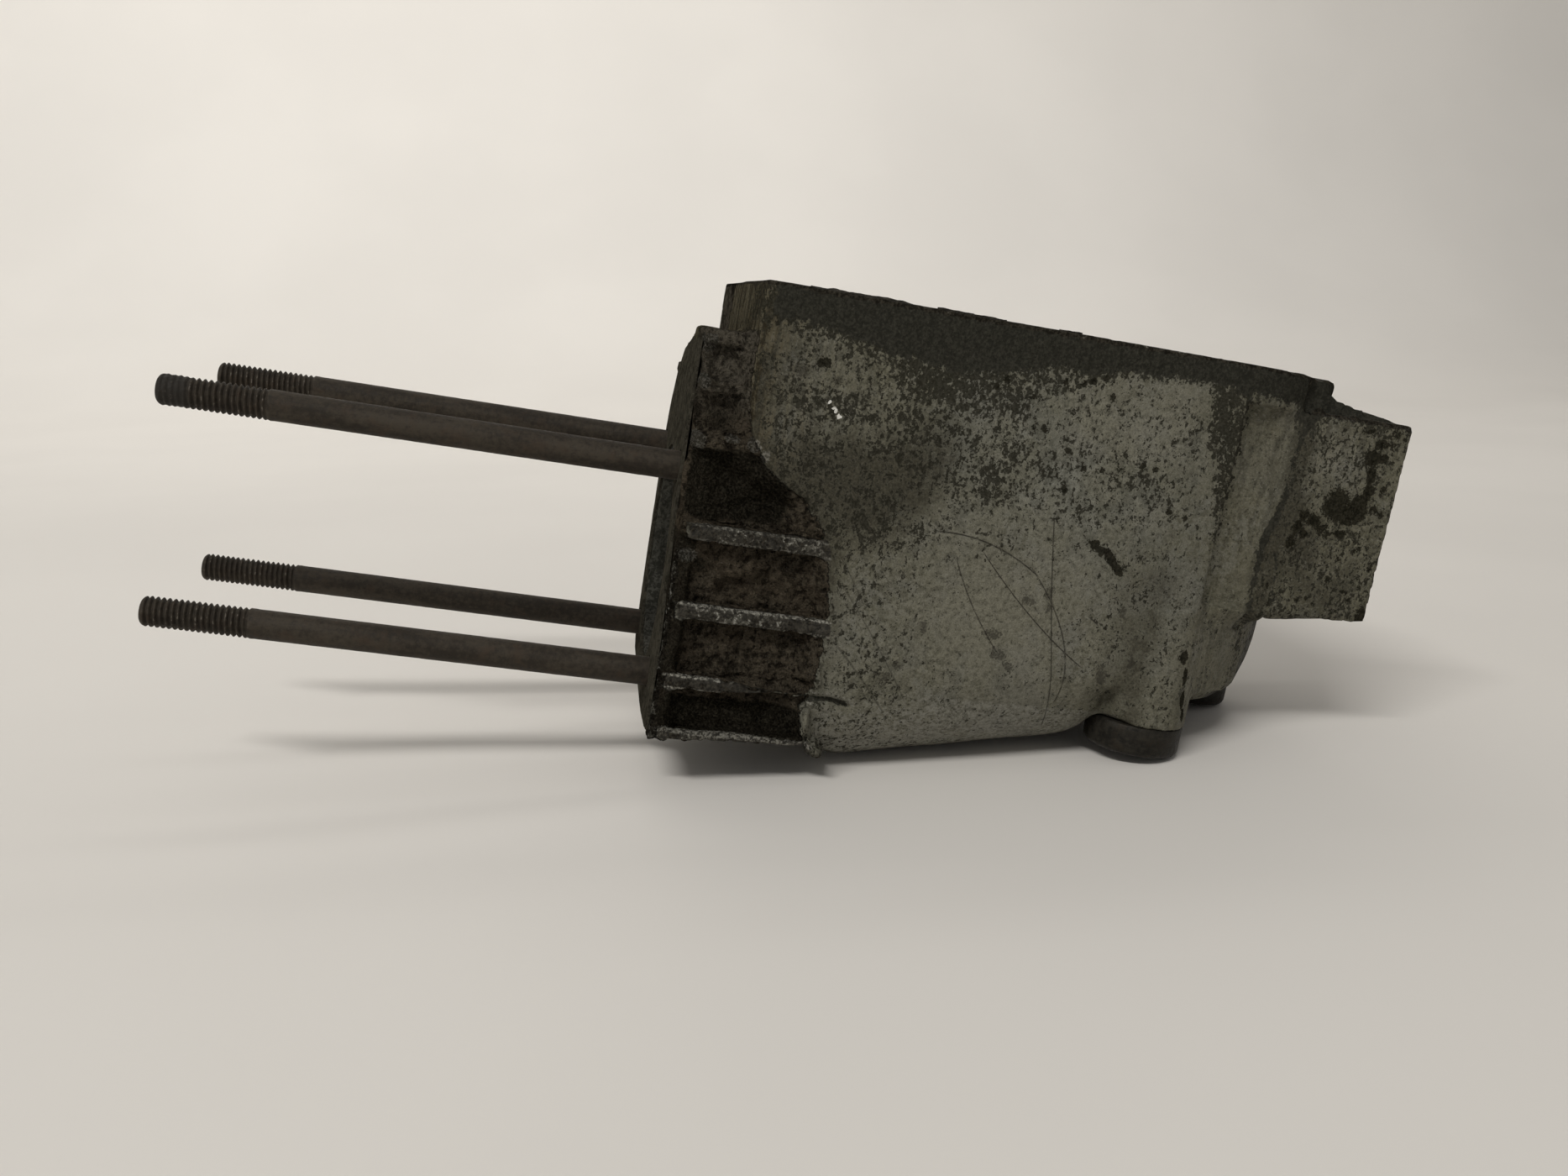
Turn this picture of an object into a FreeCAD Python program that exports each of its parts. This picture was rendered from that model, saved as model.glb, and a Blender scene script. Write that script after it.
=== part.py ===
"""Bare single-cylinder engine block: one cast-aluminium crankcase with a ribbed neck, four long cylinder studs,
three steel mounting bushes, a bronze main bush and the remains of two gaskets. Millimetres.

Casting axes, used for every piece before its Placement:
  X runs along the cylinder, 0 at the cylinder deck and positive into the case;
  Y runs across the block, 0 on the cylinder's middle plane;
  Z is square to the open cover face, 0 on the cylinder's axis.
The Placement then sets the block down as it lies on a bench: on the rounded belly and the bushes, with the cover
face leaning 10 degrees, +Z up and the origin under the middle of the whole block's box.
"""
import FreeCAD, Part
import math
import os

import Sketcher

V = FreeCAD.Vector
doc = FreeCAD.newDocument("engine_block")

# ---------------------------------------------------------------- driving dimensions
DIMS = [
    # case shell: outline at the cover face and at its foot, joined by straight drafted walls
    ("case_left", 12.0), ("case_top", 78.0), ("case_foot", -12.0),
    ("half_depth", 50.0), ("end_centre", 135.0), ("foot_half", 48.7), ("foot_centre", 127.0), ("corner_r", 3.5),
    # recess beside the neck, cut out of the shell below the shoulder
    ("neck_half", 41.0), ("neck_upper", 38.0), ("shoulder_z", 48.5), ("step_x", 41.7),
    # belly: round-bottomed pan under the crank, floor sloping up towards the base
    ("belly_left", 41.0), ("belly_right", 121.0), ("belly_low_x", 60.0), ("belly_low_z", -45.3),
    ("belly_slope", 12.0), ("belly_round", 30.0), ("belly_roof", 18.0), ("belly_half", 49.1), ("belly_nose_r", 16.0), ("belly_nose_z", -29.58), ("belly_tail_r", 9.0),
    # neck and cylinder deck
    ("deck_t", 4.5), ("neck_low", -38.5), ("neck_high", 56.0), ("neck_crown", 60.6), ("neck_corner", 13.0), ("neck_len", 62.0),
    ("rib_t", 4.4), ("rib_front", 48.6), ("rib_right", 44.0), ("rib_root", 30.0),
    ("rib_one_z", 12.3), ("rib_two_z", -8.0), ("rib_three_z", -26.4),
    ("rib_d_z", 34.6), ("rib_c_z", 48.6), ("rib_a_z", 60.4),
    ("gusset_t", 2.7), ("gusset_low", -40.2),
    # cylinder spigot register, crank passage and studs
    ("spigot_r", 29.5), ("spigot_len", 14.0), ("passage_r", 27.0),
    ("stud_half", 28.0), ("stud_r", 3.97), ("stud_out", 128.8), ("stud_in", 23.0), ("stud_end_r", 3.7), ("stud_hole_r", 3.73), ("stud_hole_len", 24.0),
    # inside
    ("crank_x", 78.0), ("crank_r", 38.0), ("crank_floor", -22.0),
    ("cavity_left", 21.0), ("cavity_half", 41.0), ("cavity_centre", 133.0), ("cavity_floor", 22.0),
    ("bush_out_r", 16.0), ("bush_in_r", 12.5), ("bush_low", -33.0),
    # cover screws and through bolts
    ("screw_r", 2.5), ("screw_len", 18.0), ("screw_boss_r", 6.5),
    ("bolt_r", 5.0), ("bush_bolt_r", 4.4), ("bolt_boss_r", 9.5),
    ("col_x", 135.0), ("col_y", 37.2), ("col_r", 13.3), ("col_foot", -21.5),
    ("endcol_x", 170.5), ("endcol_y", 5.0), ("endcol_r", 13.0), ("endcol_foot", -15.0),
    ("bowl_x", 140.0), ("spot_r", 13.0),
    ("foot_r", 13.2), ("foot_t", 8.51), ("endfoot_r", 12.3), ("endfoot_t", 8.93), ("shank_r", 7.0), ("shank_len", 13.0),
    # base with its two lugs, flange and webs
    ("base_x", 191.8), ("base_top", 69.2), ("base_low", 14.8), ("base_low_in", 8.6), ("lug_y", 44.0), ("lug_t", 7.5),
    ("flange_t", 6.5), ("web_y", 8.0), ("web_t", 6.0), ("base_hole_r", 4.4), ("base_hole_y", 20.0),
    ("base_hole_lo", 22.0), ("base_hole_hi", 62.0),
    # gaskets
    ("gasket_t", 0.8), ("crumb_t", 0.7),
    # how the block lies on the bench
    ("rest_tilt", 10.0), ("rest_x", -34.43), ("rest_y", 0.0), ("rest_z", 55.135),
]
D = dict(DIMS)
sheet = doc.addObject("Spreadsheet::Sheet", "dims")
for row, (alias, value) in enumerate(DIMS, start=1):
    sheet.set("A%d" % row, alias)
    sheet.set("B%d" % row, "%r" % value)
    sheet.setAlias("B%d" % row, alias)
doc.recompute()


def number(token):
    token = token.strip()
    return D[token] if token in D else float(token)


def value(text):
    """The number that a sum such as 'case_left + 2.5 - rib_t*0.5' stands for."""
    total, sign = 0.0, 1.0
    for token in text.split():
        if token in ("+", "-"):
            sign = 1.0 if token == "+" else -1.0
            continue
        product = 1.0
        for factor in token.split("*"):
            if factor.startswith("-"):
                product *= -number(factor[1:])
            else:
                product *= number(factor)
        total += sign * product
        sign = 1.0
    return total


def formula(text):
    """The same sum as an expression on the sheet's cells."""
    out = []
    for token in text.split():
        if token in ("+", "-"):
            out.append(token)
            continue
        factors = []
        for factor in token.split("*"):
            minus = factor.startswith("-")
            name = factor[1:] if minus else factor
            factors.append(("-1 * " if minus else "") + ("dims." + name if name in D else name))
        out.append(" * ".join(factors))
    return " ".join(out)


def bind(obj, prop, text):
    obj.setExpression(prop, formula(text))


PLANES = {"XY": "XY_Plane", "XZ": "XZ_Plane", "YZ": "YZ_Plane"}


def origin_plane(body, which):
    for feature in body.Origin.OriginFeatures:
        if feature.Role == PLANES[which]:
            return feature


def sketch(body, name, which, offset, points):
    """A closed outline on one of the body's own origin planes, moved along its normal by offset.
    points: (x, y) sums, or (x, y, radius, through_x, through_y) where an arc of that radius runs from this point to the next,
    bulging towards the through point. Every corner is held by its distances from the origin."""
    sk = body.newObject("Sketcher::SketchObject", name)
    sk.AttachmentSupport = [(origin_plane(body, which), "")]
    sk.MapMode = "FlatFace"
    sk.setExpression(".AttachmentOffset.Base.z", formula(offset))
    sk.AttachmentOffset = FreeCAD.Placement(V(0, 0, value(offset)), FreeCAD.Rotation())
    corners = [V(value(p[0]), value(p[1]), 0) for p in points]
    n = len(points)
    radii = []
    for i, p in enumerate(points):
        a, b = corners[i], corners[(i + 1) % n]
        if len(p) == 2:
            sk.addGeometry(Part.LineSegment(a, b), False)
            radii.append(None)
        else:
            r = value(p[2])
            mid = (a + b) * 0.5
            half = (b - a).Length / 2
            side = V(-(b - a).y, (b - a).x, 0)
            side.normalize()
            toward = V(p[3], p[4], 0) - mid
            if side.dot(toward) < 0:
                side = side * -1
            drop = math.sqrt(max(r * r - half * half, 0.0))
            top = mid + side * (r - drop)
            sk.addGeometry(Part.Arc(a, top, b), False)
            centre = mid - side * drop
            start_angle = math.atan2(a.y - centre.y, a.x - centre.x)
            arc = sk.Geometry[i]
            flipped = (arc.StartPoint - a).Length > 1e-6
            radii.append((r, flipped, p[2]))

    def start(i):
        return 2 if radii[i] and radii[i][1] else 1

    def end(i):
        return 1 if radii[i] and radii[i][1] else 2

    cons = []
    for i in range(n):
        j = (i + 1) % n
        cons.append(Sketcher.Constraint("Coincident", i, end(i), j, start(j)))
    sk.addConstraint(cons)
    for i, p in enumerate(points):
        k = sk.addConstraint(Sketcher.Constraint("DistanceX", -1, 1, i, start(i), corners[i].x))
        sk.setExpression("Constraints[%d]" % k, formula(p[0]))
        k = sk.addConstraint(Sketcher.Constraint("DistanceY", -1, 1, i, start(i), corners[i].y))
        sk.setExpression("Constraints[%d]" % k, formula(p[1]))
        if radii[i]:
            other = corners[(i + 1) % n]
            if (other - corners[i]).Length > 1.999 * radii[i][0]:
                # a half circle is held by its centre, which stands beside its two ends
                k = sk.addConstraint(Sketcher.Constraint("DistanceX", -1, 1, i, 3, corners[i].x))
                sk.setExpression("Constraints[%d]" % k, formula(p[0]))
            else:
                k = sk.addConstraint(Sketcher.Constraint("Radius", i, radii[i][0]))
                sk.setExpression("Constraints[%d]" % k, formula(radii[i][2]))
    if sk.solve() != 0:
        raise RuntimeError("the outline %s is not sound" % name)
    return sk


def pad(name, which, start, length, points, reverse=False, middle=False):
    """A body with one padded outline. start is measured along the plane's normal."""
    body = doc.addObject("PartDesign::Body", name)
    sk = sketch(body, name + "_outline", which, start, points)
    feature = body.newObject("PartDesign::Pad", name + "_pad")
    feature.Profile = sk
    feature.Length = value(length)
    bind(feature, "Length", length)
    feature.Reversed = reverse
    feature.Midplane = middle
    doc.recompute()
    return body


def round_edges(body, radius, choose, tag="round"):
    """Fillets the edges of the body's tip that choose(edge) picks."""
    tip = body.Tip
    names = ["Edge%d" % (i + 1) for i, e in enumerate(tip.Shape.Edges) if choose(e)]
    if not names:
        raise RuntimeError("no edge to round on " + body.Name)
    feature = body.newObject("PartDesign::Fillet", body.Name + "_" + tag)
    feature.Base = (tip, names)
    feature.Radius = value(radius)
    bind(feature, "Radius", radius)
    body.Tip = feature
    doc.recompute()
    if "Invalid" in feature.State or "Error" in feature.State or not feature.Shape.isValid():
        raise RuntimeError("the fillet on %s failed" % body.Name)
    return feature


def cylinder(name, radius, height, base, direction=(0, 0, 1)):
    """Part::Cylinder from base, along direction, with its numbers on the sheet."""
    obj = doc.addObject("Part::Cylinder", name)
    obj.Radius = value(radius)
    obj.Height = value(height)
    bind(obj, "Radius", radius)
    bind(obj, "Height", height)
    turn = FreeCAD.Rotation(V(0, 0, 1), V(*direction))
    obj.Placement = FreeCAD.Placement(V(*[value(c) for c in base]), turn)
    for axis, c in zip("xyz", base):
        obj.setExpression("Placement.Base." + axis, formula(c))
    return obj


def box(name, sizes, corner):
    obj = doc.addObject("Part::Box", name)
    for prop, s in zip(("Length", "Width", "Height"), sizes):
        setattr(obj, prop, value(s))
        bind(obj, prop, s)
    obj.Placement = FreeCAD.Placement(V(*[value(c) for c in corner]), FreeCAD.Rotation())
    for axis, c in zip("xyz", corner):
        obj.setExpression("Placement.Base." + axis, formula(c))
    return obj


def join(name, parts):
    obj = doc.addObject("Part::MultiFuse", name)
    obj.Shapes = parts
    obj.Refine = True
    doc.recompute()
    return obj


def cut(name, base, tool):
    obj = doc.addObject("Part::Cut", name)
    obj.Base = base
    obj.Tool = tool
    obj.Refine = True
    doc.recompute()
    return obj


def common(name, base, tool):
    obj = doc.addObject("Part::Common", name)
    obj.Base = base
    obj.Tool = tool
    obj.Refine = True
    doc.recompute()
    return obj


def mirrored(name, source):
    obj = doc.addObject("Part::Mirroring", name)
    obj.Source = source
    obj.Normal = V(0, 1, 0)
    obj.Base = V(0, 0, 0)
    doc.recompute()
    return obj


# ---------------------------------------------------------------- the case shell
shell = doc.addObject("PartDesign::Body", "case_shell")
top_outline = sketch(shell, "case_top_outline", "XY", "case_top", [
    ("case_left", "-half_depth"), ("end_centre", "-half_depth", "half_depth", 300, 0),
    ("end_centre", "half_depth"), ("case_left", "half_depth")])
foot_outline = sketch(shell, "case_foot_outline", "XY", "case_foot", [
    ("case_left", "-foot_half"), ("foot_centre", "-foot_half", "foot_half", 300, 0),
    ("foot_centre", "foot_half"), ("case_left", "foot_half")])
loft = shell.newObject("PartDesign::AdditiveLoft", "case_shell_loft")
loft.Profile = top_outline
loft.Sections = [foot_outline]
loft.Ruled = True
doc.recompute()
round_edges(shell, "corner_r", lambda e: e.BoundBox.XMax < 12.5 and e.BoundBox.ZLength > 60, "corners")

# the shell gives way to the neck below a curved shoulder, on the two sides only
recess = pad("neck_recess", "XZ", "neck_half", "30", [
    ("case_left - 8", "shoulder_z"), ("case_left", "shoulder_z", "27", 16, 30),
    ("31.5", "25.7"), ("37.2", "17.8"), ("39.6", "9"), ("step_x - 0.2", "0"), ("step_x", "-5"), ("step_x - 0.3", "-18"),
    ("belly_left", "-28"), ("belly_left", "-60"), ("case_left - 8", "-60")])
recess_back = mirrored("neck_recess_back", recess)
shell_cut = cut("case_shell_open", cut("case_shell_front_open", shell, recess), recess_back)

# ---------------------------------------------------------------- belly
belly_side = pad("belly_side", "XZ", "0", "120", [
    ("belly_left + 2", "belly_roof"), ("belly_left + 0.4", "-18"), ("belly_left", "belly_nose_z", "belly_nose_r", 30, -60),
    ("belly_left + belly_nose_r", "belly_nose_z - belly_nose_r"), ("belly_low_x", "-60"), ("belly_right - 4", "-50"),
    ("belly_right - belly_tail_r", "-33.2", "belly_tail_r*1.05", 200, -60), ("belly_right", "-24"), ("belly_right", "belly_roof")], middle=True)
pan = pad("belly_pan", "YZ", "0", "180", [
    ("-belly_half", "90"), ("-belly_half", "belly_round", "belly_round", -80, -80),
    ("-belly_half + belly_round", "0"), ("belly_half - belly_round", "0", "belly_round", 80, -80),
    ("belly_half", "belly_round"), ("belly_half", "90")], middle=True)
pan.Placement = FreeCAD.Placement(V(D["belly_low_x"], 0, D["belly_low_z"]), FreeCAD.Rotation(V(0, 1, 0), -D["belly_slope"]))
pan.setExpression("Placement.Base.x", "dims.belly_low_x")
pan.setExpression("Placement.Base.z", "dims.belly_low_z")
doc.recompute()
belly = common("belly", belly_side, pan)

# ---------------------------------------------------------------- neck, deck and ribs
neck = pad("neck_core", "YZ", "deck_t - 2", "neck_len", [
    ("-neck_half", "neck_low + neck_corner", "neck_corner", -80, -80), ("-neck_half + neck_corner", "neck_low"),
    ("neck_half - neck_corner", "neck_low", "neck_corner", 80, -80), ("neck_half", "neck_low + neck_corner"),
    ("neck_half", "14"), ("neck_upper", "17"),
    ("neck_upper", "neck_high - neck_corner", "neck_corner", 80, 90), ("neck_upper - neck_corner", "neck_high"),
    ("-2", "neck_high"), ("-8", "neck_crown"), ("-neck_upper + 5", "neck_crown", "5", -80, 90), ("-neck_upper", "neck_crown - 5"),
    ("-neck_upper", "17"), ("-neck_half", "14")])
deck = pad("deck_plate", "YZ", "0", "deck_t", [
    ("-37", "64"), ("-12", "63.4"), ("8", "59.5"), ("22", "52.5"), ("32", "42"), ("37.5", "29"),
    ("38.5", "0"), ("38.5", "-29", "9", 60, -60), ("30", "-38"), ("0", "-41"), ("-24", "-42.2"), ("-rib_front", "-40.4"),
    ("-rib_front", "7"), ("-44", "10.5"), ("-38.5", "12.5"), ("-37", "20")])


def rib(name, low, thick, left, right, front, root="rib_root"):
    """A level rib standing out of the neck's side, its free corner rounded."""
    body = pad(name, "XY", low, thick, [
        (left, "-" + root), (left, "-" + front + " + 4", "4", -50, -100), (left + " + 4", "-" + front),
        (right, "-" + front), (right, "-" + root)])
    return body


ribs = [
    rib("rib_one", "rib_one_z", "rib_t", "0.6", "rib_right", "rib_front"),
    rib("rib_two", "rib_two_z", "rib_t", "0.4", "rib_right", "rib_front"),
    rib("rib_three", "rib_three_z", "rib_t*0.9", "0.2", "rib_right", "rib_front"),
    rib("rib_d", "rib_d_z", "rib_t", "0.8", "22", "46.5"),
    rib("rib_c", "rib_c_z", "rib_t*0.9", "0.4", "16", "45"),
    rib("rib_a", "rib_a_z", "rib_t*0.9", "0", "16", "43.5", "10"),
]
ribs_back = [mirrored(r.Name + "_back", r) for r in ribs[:5]]
gusset = pad("neck_gusset", "XZ", "-36", "rib_front + 36", [
    ("0", "gusset_low"), ("40", "gusset_low + 2.4"), ("43", "gusset_low + 5"), ("0", "gusset_low + gusset_t")])

# ---------------------------------------------------------------- columns for the through bolts
column = cylinder("column_front_side", "col_r", "24", ("col_x", "-col_y", "col_foot"))
column_back = cylinder("column_back_side", "col_r", "24", ("col_x", "col_y", "col_foot"))
tapers = []
for side, sign in (("front", "-"), ("back", "")):
    taper = doc.addObject("Part::Cone", "column_taper_" + side)
    taper.Radius1 = D["col_r"]
    bind(taper, "Radius1", "col_r")
    taper.Radius2 = D["col_r"] - 3
    bind(taper, "Radius2", "col_r - 3")
    taper.Height = 34.0
    taper.Placement = FreeCAD.Placement(V(D["col_x"], float(sign + "1") * D["col_y"], D["col_foot"] + 24), FreeCAD.Rotation())
    for axis, text in zip("xyz", ("col_x", sign + "col_y", "col_foot + 24")):
        taper.setExpression("Placement.Base." + axis, formula(text))
    tapers.append(taper)
end_column = cylinder("column_end_side", "endcol_r", "40", ("endcol_x", "endcol_y", "endcol_foot"))

# rounded foot of the case's end, turned about the bowl's own axis
bowl = doc.addObject("PartDesign::Body", "end_bowl")
bowl_outline = sketch(bowl, "end_bowl_outline", "XZ", "0", [
    ("0", "10"), ("0", "-21.8"), ("20", "-21.2"), ("27", "-19.6"), ("32.5", "-17"), ("36", "-13.4"), ("38.4", "-8"),
    ("39.6", "-2"), ("40", "6"), ("40", "10")])
bowl_turn = bowl.newObject("PartDesign::Revolution", "end_bowl_turn")
bowl_turn.Profile = bowl_outline
bowl_turn.ReferenceAxis = (bowl_outline, ["V_Axis"])
bowl_turn.Angle = 360.0
bowl.Tip = bowl_turn
bowl.Placement = FreeCAD.Placement(V(D["bowl_x"], 0, 0), FreeCAD.Rotation())
bowl.setExpression("Placement.Base.x", "dims.bowl_x")
doc.recompute()

# ---------------------------------------------------------------- base
lug = pad("lug_front_side", "XZ", "lug_y - lug_t", "lug_t", [
    ("146", "base_low_in"), ("base_x", "base_low"), ("base_x", "base_top"), ("146", "base_top")])
lug_back = mirrored("lug_back_side", lug)
flange = box("base_flange", ("flange_t", "lug_y*2", "base_top - base_low - 0.6"), ("base_x - flange_t", "-lug_y", "base_low + 0.6"))
web_one = box("base_web_front_side", ("60", "web_t", "base_top - base_low - 6"), ("base_x - 60", "-web_y - web_t*0.5", "base_low + 3"))
web_two = box("base_web_back_side", ("60", "web_t", "base_top - base_low - 6"), ("base_x - 60", "web_y - web_t*0.5", "base_low + 3"))
shoulder = pad("lug_shoulder", "XY", "base_low - 3", "base_top - base_low + 1", [
    ("140", "-48.5"), ("151", "-47.2"), ("159", "-45.2"), ("166", "-44"), ("166", "-40"), ("140", "-40")])
shoulder_back = mirrored("lug_shoulder_back", shoulder)
# broken-off crest standing behind the top edge of the front lug
crest = pad("lug_crest", "XZ", "34", "6", [
    ("160", "60"), ("188", "60"), ("188", "69.9"), ("183.4", "70.6"), ("178", "71.9"), ("174", "71.4"), ("172", "72.6"),
    ("168", "73.5"), ("160", "73.5")])

outer = join("casting_outside", [shell_cut, belly, neck, deck, gusset, column, column_back, end_column,
                                 bowl, lug, lug_back, flange, web_one, web_two, shoulder, shoulder_back, crest] + tapers + ribs + ribs_back)

# ---------------------------------------------------------------- the hollow inside
cavity = pad("cover_cavity", "XY", "cavity_floor", "80", [
    ("cavity_left", "-cavity_half + 9"), ("cavity_left + 27", "-cavity_half + 9"), ("cavity_left + 27", "-cavity_half"),
    ("cavity_centre", "-cavity_half", "cavity_half", 300, 0), ("cavity_centre", "cavity_half"),
    ("cavity_left + 27", "cavity_half"), ("cavity_left + 27", "cavity_half - 9"), ("cavity_left", "cavity_half - 9")])
round_edges(cavity, "4", lambda e: e.BoundBox.XMax < 49 and e.BoundBox.ZLength > 60, "corners")
round_edges(cavity, "3", lambda e: e.BoundBox.ZMax < 22.5, "floor")
chamber = cylinder("crank_chamber", "crank_r", "cavity_floor - crank_floor + 20", ("crank_x", "0", "crank_floor"))
passage = cylinder("cylinder_passage", "passage_r", "crank_x - 2", ("0", "0", "0"), (1, 0, 0))
spigot = cylinder("spigot_register", "spigot_r", "spigot_len + 5", ("-5", "0", "0"), (1, 0, 0))
end_pocket = pad("end_pocket", "XY", "-12", "cavity_floor + 14", [
    ("122", "-19"), ("151", "-19"), ("151", "19"), ("122", "19")])
round_edges(end_pocket, "5", lambda e: e.BoundBox.ZLength > 20, "corners")
hollow = join("casting_hollow", [cavity, chamber, passage, spigot, end_pocket])
body_open = cut("casting_open", outer, hollow)

SCREWS = [("19.5", "42.5"), ("60", "44"), ("98", "44"), ("164", "32")]
bosses = []
for n, (x, y) in enumerate(SCREWS):
    for side, sign in (("front", "-"), ("back", "")):
        low = "shoulder_z + 3" if n == 0 else "40"
        bosses.append(cylinder("screw_boss_%d_%s" % (n, side), "screw_boss_r", "case_top - " + low.replace("+", "-"), (x, sign + y, low)))
for n, (x, y) in enumerate([("col_x", "-col_y"), ("col_x", "col_y"), ("endcol_x", "endcol_y")]):
    bosses.append(cylinder("bolt_boss_%d" % n, "bolt_boss_r", "case_top - 12", (x, y, "12")))
boss_set = join("casting_bosses", bosses)
keep = pad("boss_limit", "XY", "-20", "case_top + 20", [
    ("case_left + 0.6", "-half_depth + 4"), ("end_centre", "-half_depth + 4", "half_depth - 4", 300, 0),
    ("end_centre", "half_depth - 4"), ("case_left + 0.6", "half_depth - 4")])
boss_trim = common("casting_bosses_trimmed", boss_set, keep)
with_bosses = join("casting_with_bosses", [body_open, boss_trim])

holes = []
for n, (x, y) in enumerate(SCREWS):
    for side, sign in (("front", "-"), ("back", "")):
        holes.append(cylinder("screw_hole_%d_%s" % (n, side), "screw_r", "screw_len + 5", (x, sign + y, "case_top - screw_len")))
for n, (x, y, foot) in enumerate([("col_x", "-col_y", "col_foot"), ("col_x", "col_y", "col_foot"), ("endcol_x", "endcol_y", "endcol_foot")]):
    holes.append(cylinder("bolt_hole_%d" % n, "bolt_r", "180", (x, y, "-80")))
    holes.append(cylinder("bush_seat_%d" % n, "shank_r + 0.02", "shank_len + 20.3", (x, y, foot + " - 20")))
for n, (sy, sz) in enumerate([("-", "-"), ("-", ""), ("", "-"), ("", "")]):
    holes.append(cylinder("stud_hole_%d" % n, "stud_hole_r", "stud_hole_len + 5", ("-5", sy + "stud_half", sz + "stud_half"), (1, 0, 0)))
    holes.append(cylinder("base_hole_%d" % n, "base_hole_r", "flange_t + 8",
                          ("base_x - flange_t - 4", sy + "base_hole_y", "base_hole_lo" if sz else "base_hole_hi"), (1, 0, 0)))
holes.append(cylinder("end_spotface", "spot_r", "30", ("endcol_x", "endcol_y", "endcol_foot - 30")))
holes.append(cylinder("main_seat", "bush_out_r", "60", ("crank_x", "0", "-70")))
hole_set = join("casting_holes", holes)
crankcase = cut("crankcase", with_bosses, hole_set)

# ---------------------------------------------------------------- turned pieces
def turned(name, axis, points):
    """A body turned about the X or the Z axis. points: (along, radius) sums."""
    body = doc.addObject("PartDesign::Body", name)
    which = "XY" if axis == "X" else "XZ"
    if axis == "X":
        outline = [(a, r) for a, r in points]
    else:
        outline = [(r, a) for a, r in points]
    sk = sketch(body, name + "_outline", which, "0", outline)
    feature = body.newObject("PartDesign::Revolution", name + "_turn")
    feature.Profile = sk
    feature.ReferenceAxis = (sk, ["H_Axis" if axis == "X" else "V_Axis"])
    feature.Angle = 360.0
    body.Tip = feature
    doc.recompute()
    return body


NODES = []  # (object, Label, extra shift before the rest placement)

NODES.append((crankcase, "crankcase", V(0, 0, 0)))
for label, sy, sz in [("stud_lower_front", -1, -1), ("stud_lower_rear", 1, -1), ("stud_upper_front", -1, 1), ("stud_upper_rear", 1, 1)]:
    stud = turned(label, "X", [
        ("-stud_out", "0"), ("-stud_out", "stud_r - 2.0"), ("-stud_out + 0.5", "stud_r - 1.1"), ("-stud_out + 1.6", "stud_r - 0.25"),
        ("-stud_out + 2.6", "stud_r"), ("-1.2", "stud_r"), ("-1.2", "stud_end_r"), ("stud_in - 1", "stud_end_r"), ("stud_in", "stud_end_r - 1"), ("stud_in", "0")])
    NODES.append((stud, label, V(0, sy * D["stud_half"], sz * D["stud_half"])))

for label, x, y, foot, r, t in [("mounting_bush_front", "col_x", -D["col_y"], "col_foot", "foot_r", "foot_t"),
                                ("mounting_bush_rear", "col_x", D["col_y"], "col_foot", "foot_r", "foot_t"),
                                ("mounting_bush_end", "endcol_x", D["endcol_y"], "endcol_foot", "endfoot_r", "endfoot_t")]:
    bush = turned(label, "Z", [
        ("0", "bush_bolt_r"), ("-" + t + " + 0.8", "bush_bolt_r"), ("-" + t, "bush_bolt_r + 0.8"), ("-" + t, r + " - 1.6"),
        ("-" + t + " + 0.5", r + " - 0.6"), ("-" + t + " + 1.5", r), ("-0.4", r), ("0", r + " - 0.4"), ("0", "shank_r"),
        ("shank_len - 0.8", "shank_r"), ("shank_len", "shank_r - 0.8"), ("shank_len", "bush_bolt_r")])
    NODES.append((bush, label, V(D[x], y, D[foot])))

main_bush = turned("main_bush", "Z", [
    ("bush_low", "bush_in_r + 0.8"), ("bush_low", "bush_out_r - 0.62"), ("bush_low + 0.6", "bush_out_r - 0.02"), ("crank_floor", "bush_out_r - 0.02"),
    ("crank_floor", "bush_in_r + 0.8"), ("crank_floor - 0.8", "bush_in_r"), ("bush_low + 0.8", "bush_in_r")])
NODES.append((main_bush, "main_bush", V(D["crank_x"], 0, 0)))

oil_seal = turned("oil_seal", "Z", [
    ("bush_low - 4.2", "bush_in_r + 1.2"), ("bush_low - 4.2", "bush_out_r - 1"), ("bush_low - 3.6", "bush_out_r - 0.02"), ("bush_low - 0.15", "bush_out_r - 0.02"),
    ("bush_low - 0.15", "bush_in_r + 2.2"), ("bush_low - 1.4", "bush_in_r + 2.2"), ("bush_low - 2.2", "bush_in_r - 0.2"), ("bush_low - 2.8", "bush_in_r - 0.2")])
NODES.append((oil_seal, "oil_seal", V(D["crank_x"], 0, 0)))

gasket_sheet = pad("deck_gasket_sheet", "YZ", "-gasket_t", "gasket_t", [
    ("-35.5", "61.5"), ("-13", "61"), ("7", "57.4"), ("20.5", "50.6"), ("30.2", "40.6"), ("35.6", "28.2"),
    ("36.8", "-1"), ("36.4", "-29", "8", 60, -60), ("29", "-36.6"), ("0", "-39.6"), ("-24", "-40.6"), ("-42", "-39.4"), ("-46.6", "-38.6"),
    ("-46.9", "-22"), ("-46", "-13"), ("-43.6", "-6.5"), ("-40.4", "-3"), ("-41.5", "4"), ("-37", "11"), ("-36", "20")])
gasket_holes = [cylinder("deck_gasket_bore", "spigot_r + 1", "6", ("-3", "0", "0"), (1, 0, 0))]
for n, (sy, sz) in enumerate([("-", "-"), ("-", ""), ("", "-"), ("", "")]):
    gasket_holes.append(cylinder("deck_gasket_hole_%d" % n, "stud_r + 0.35", "6", ("-3", sy + "stud_half", sz + "stud_half"), (1, 0, 0)))
deck_gasket = cut("deck_gasket", gasket_sheet, join("deck_gasket_holes", gasket_holes))
NODES.append((deck_gasket, "deck_gasket", V(0, 0, 0)))

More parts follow.
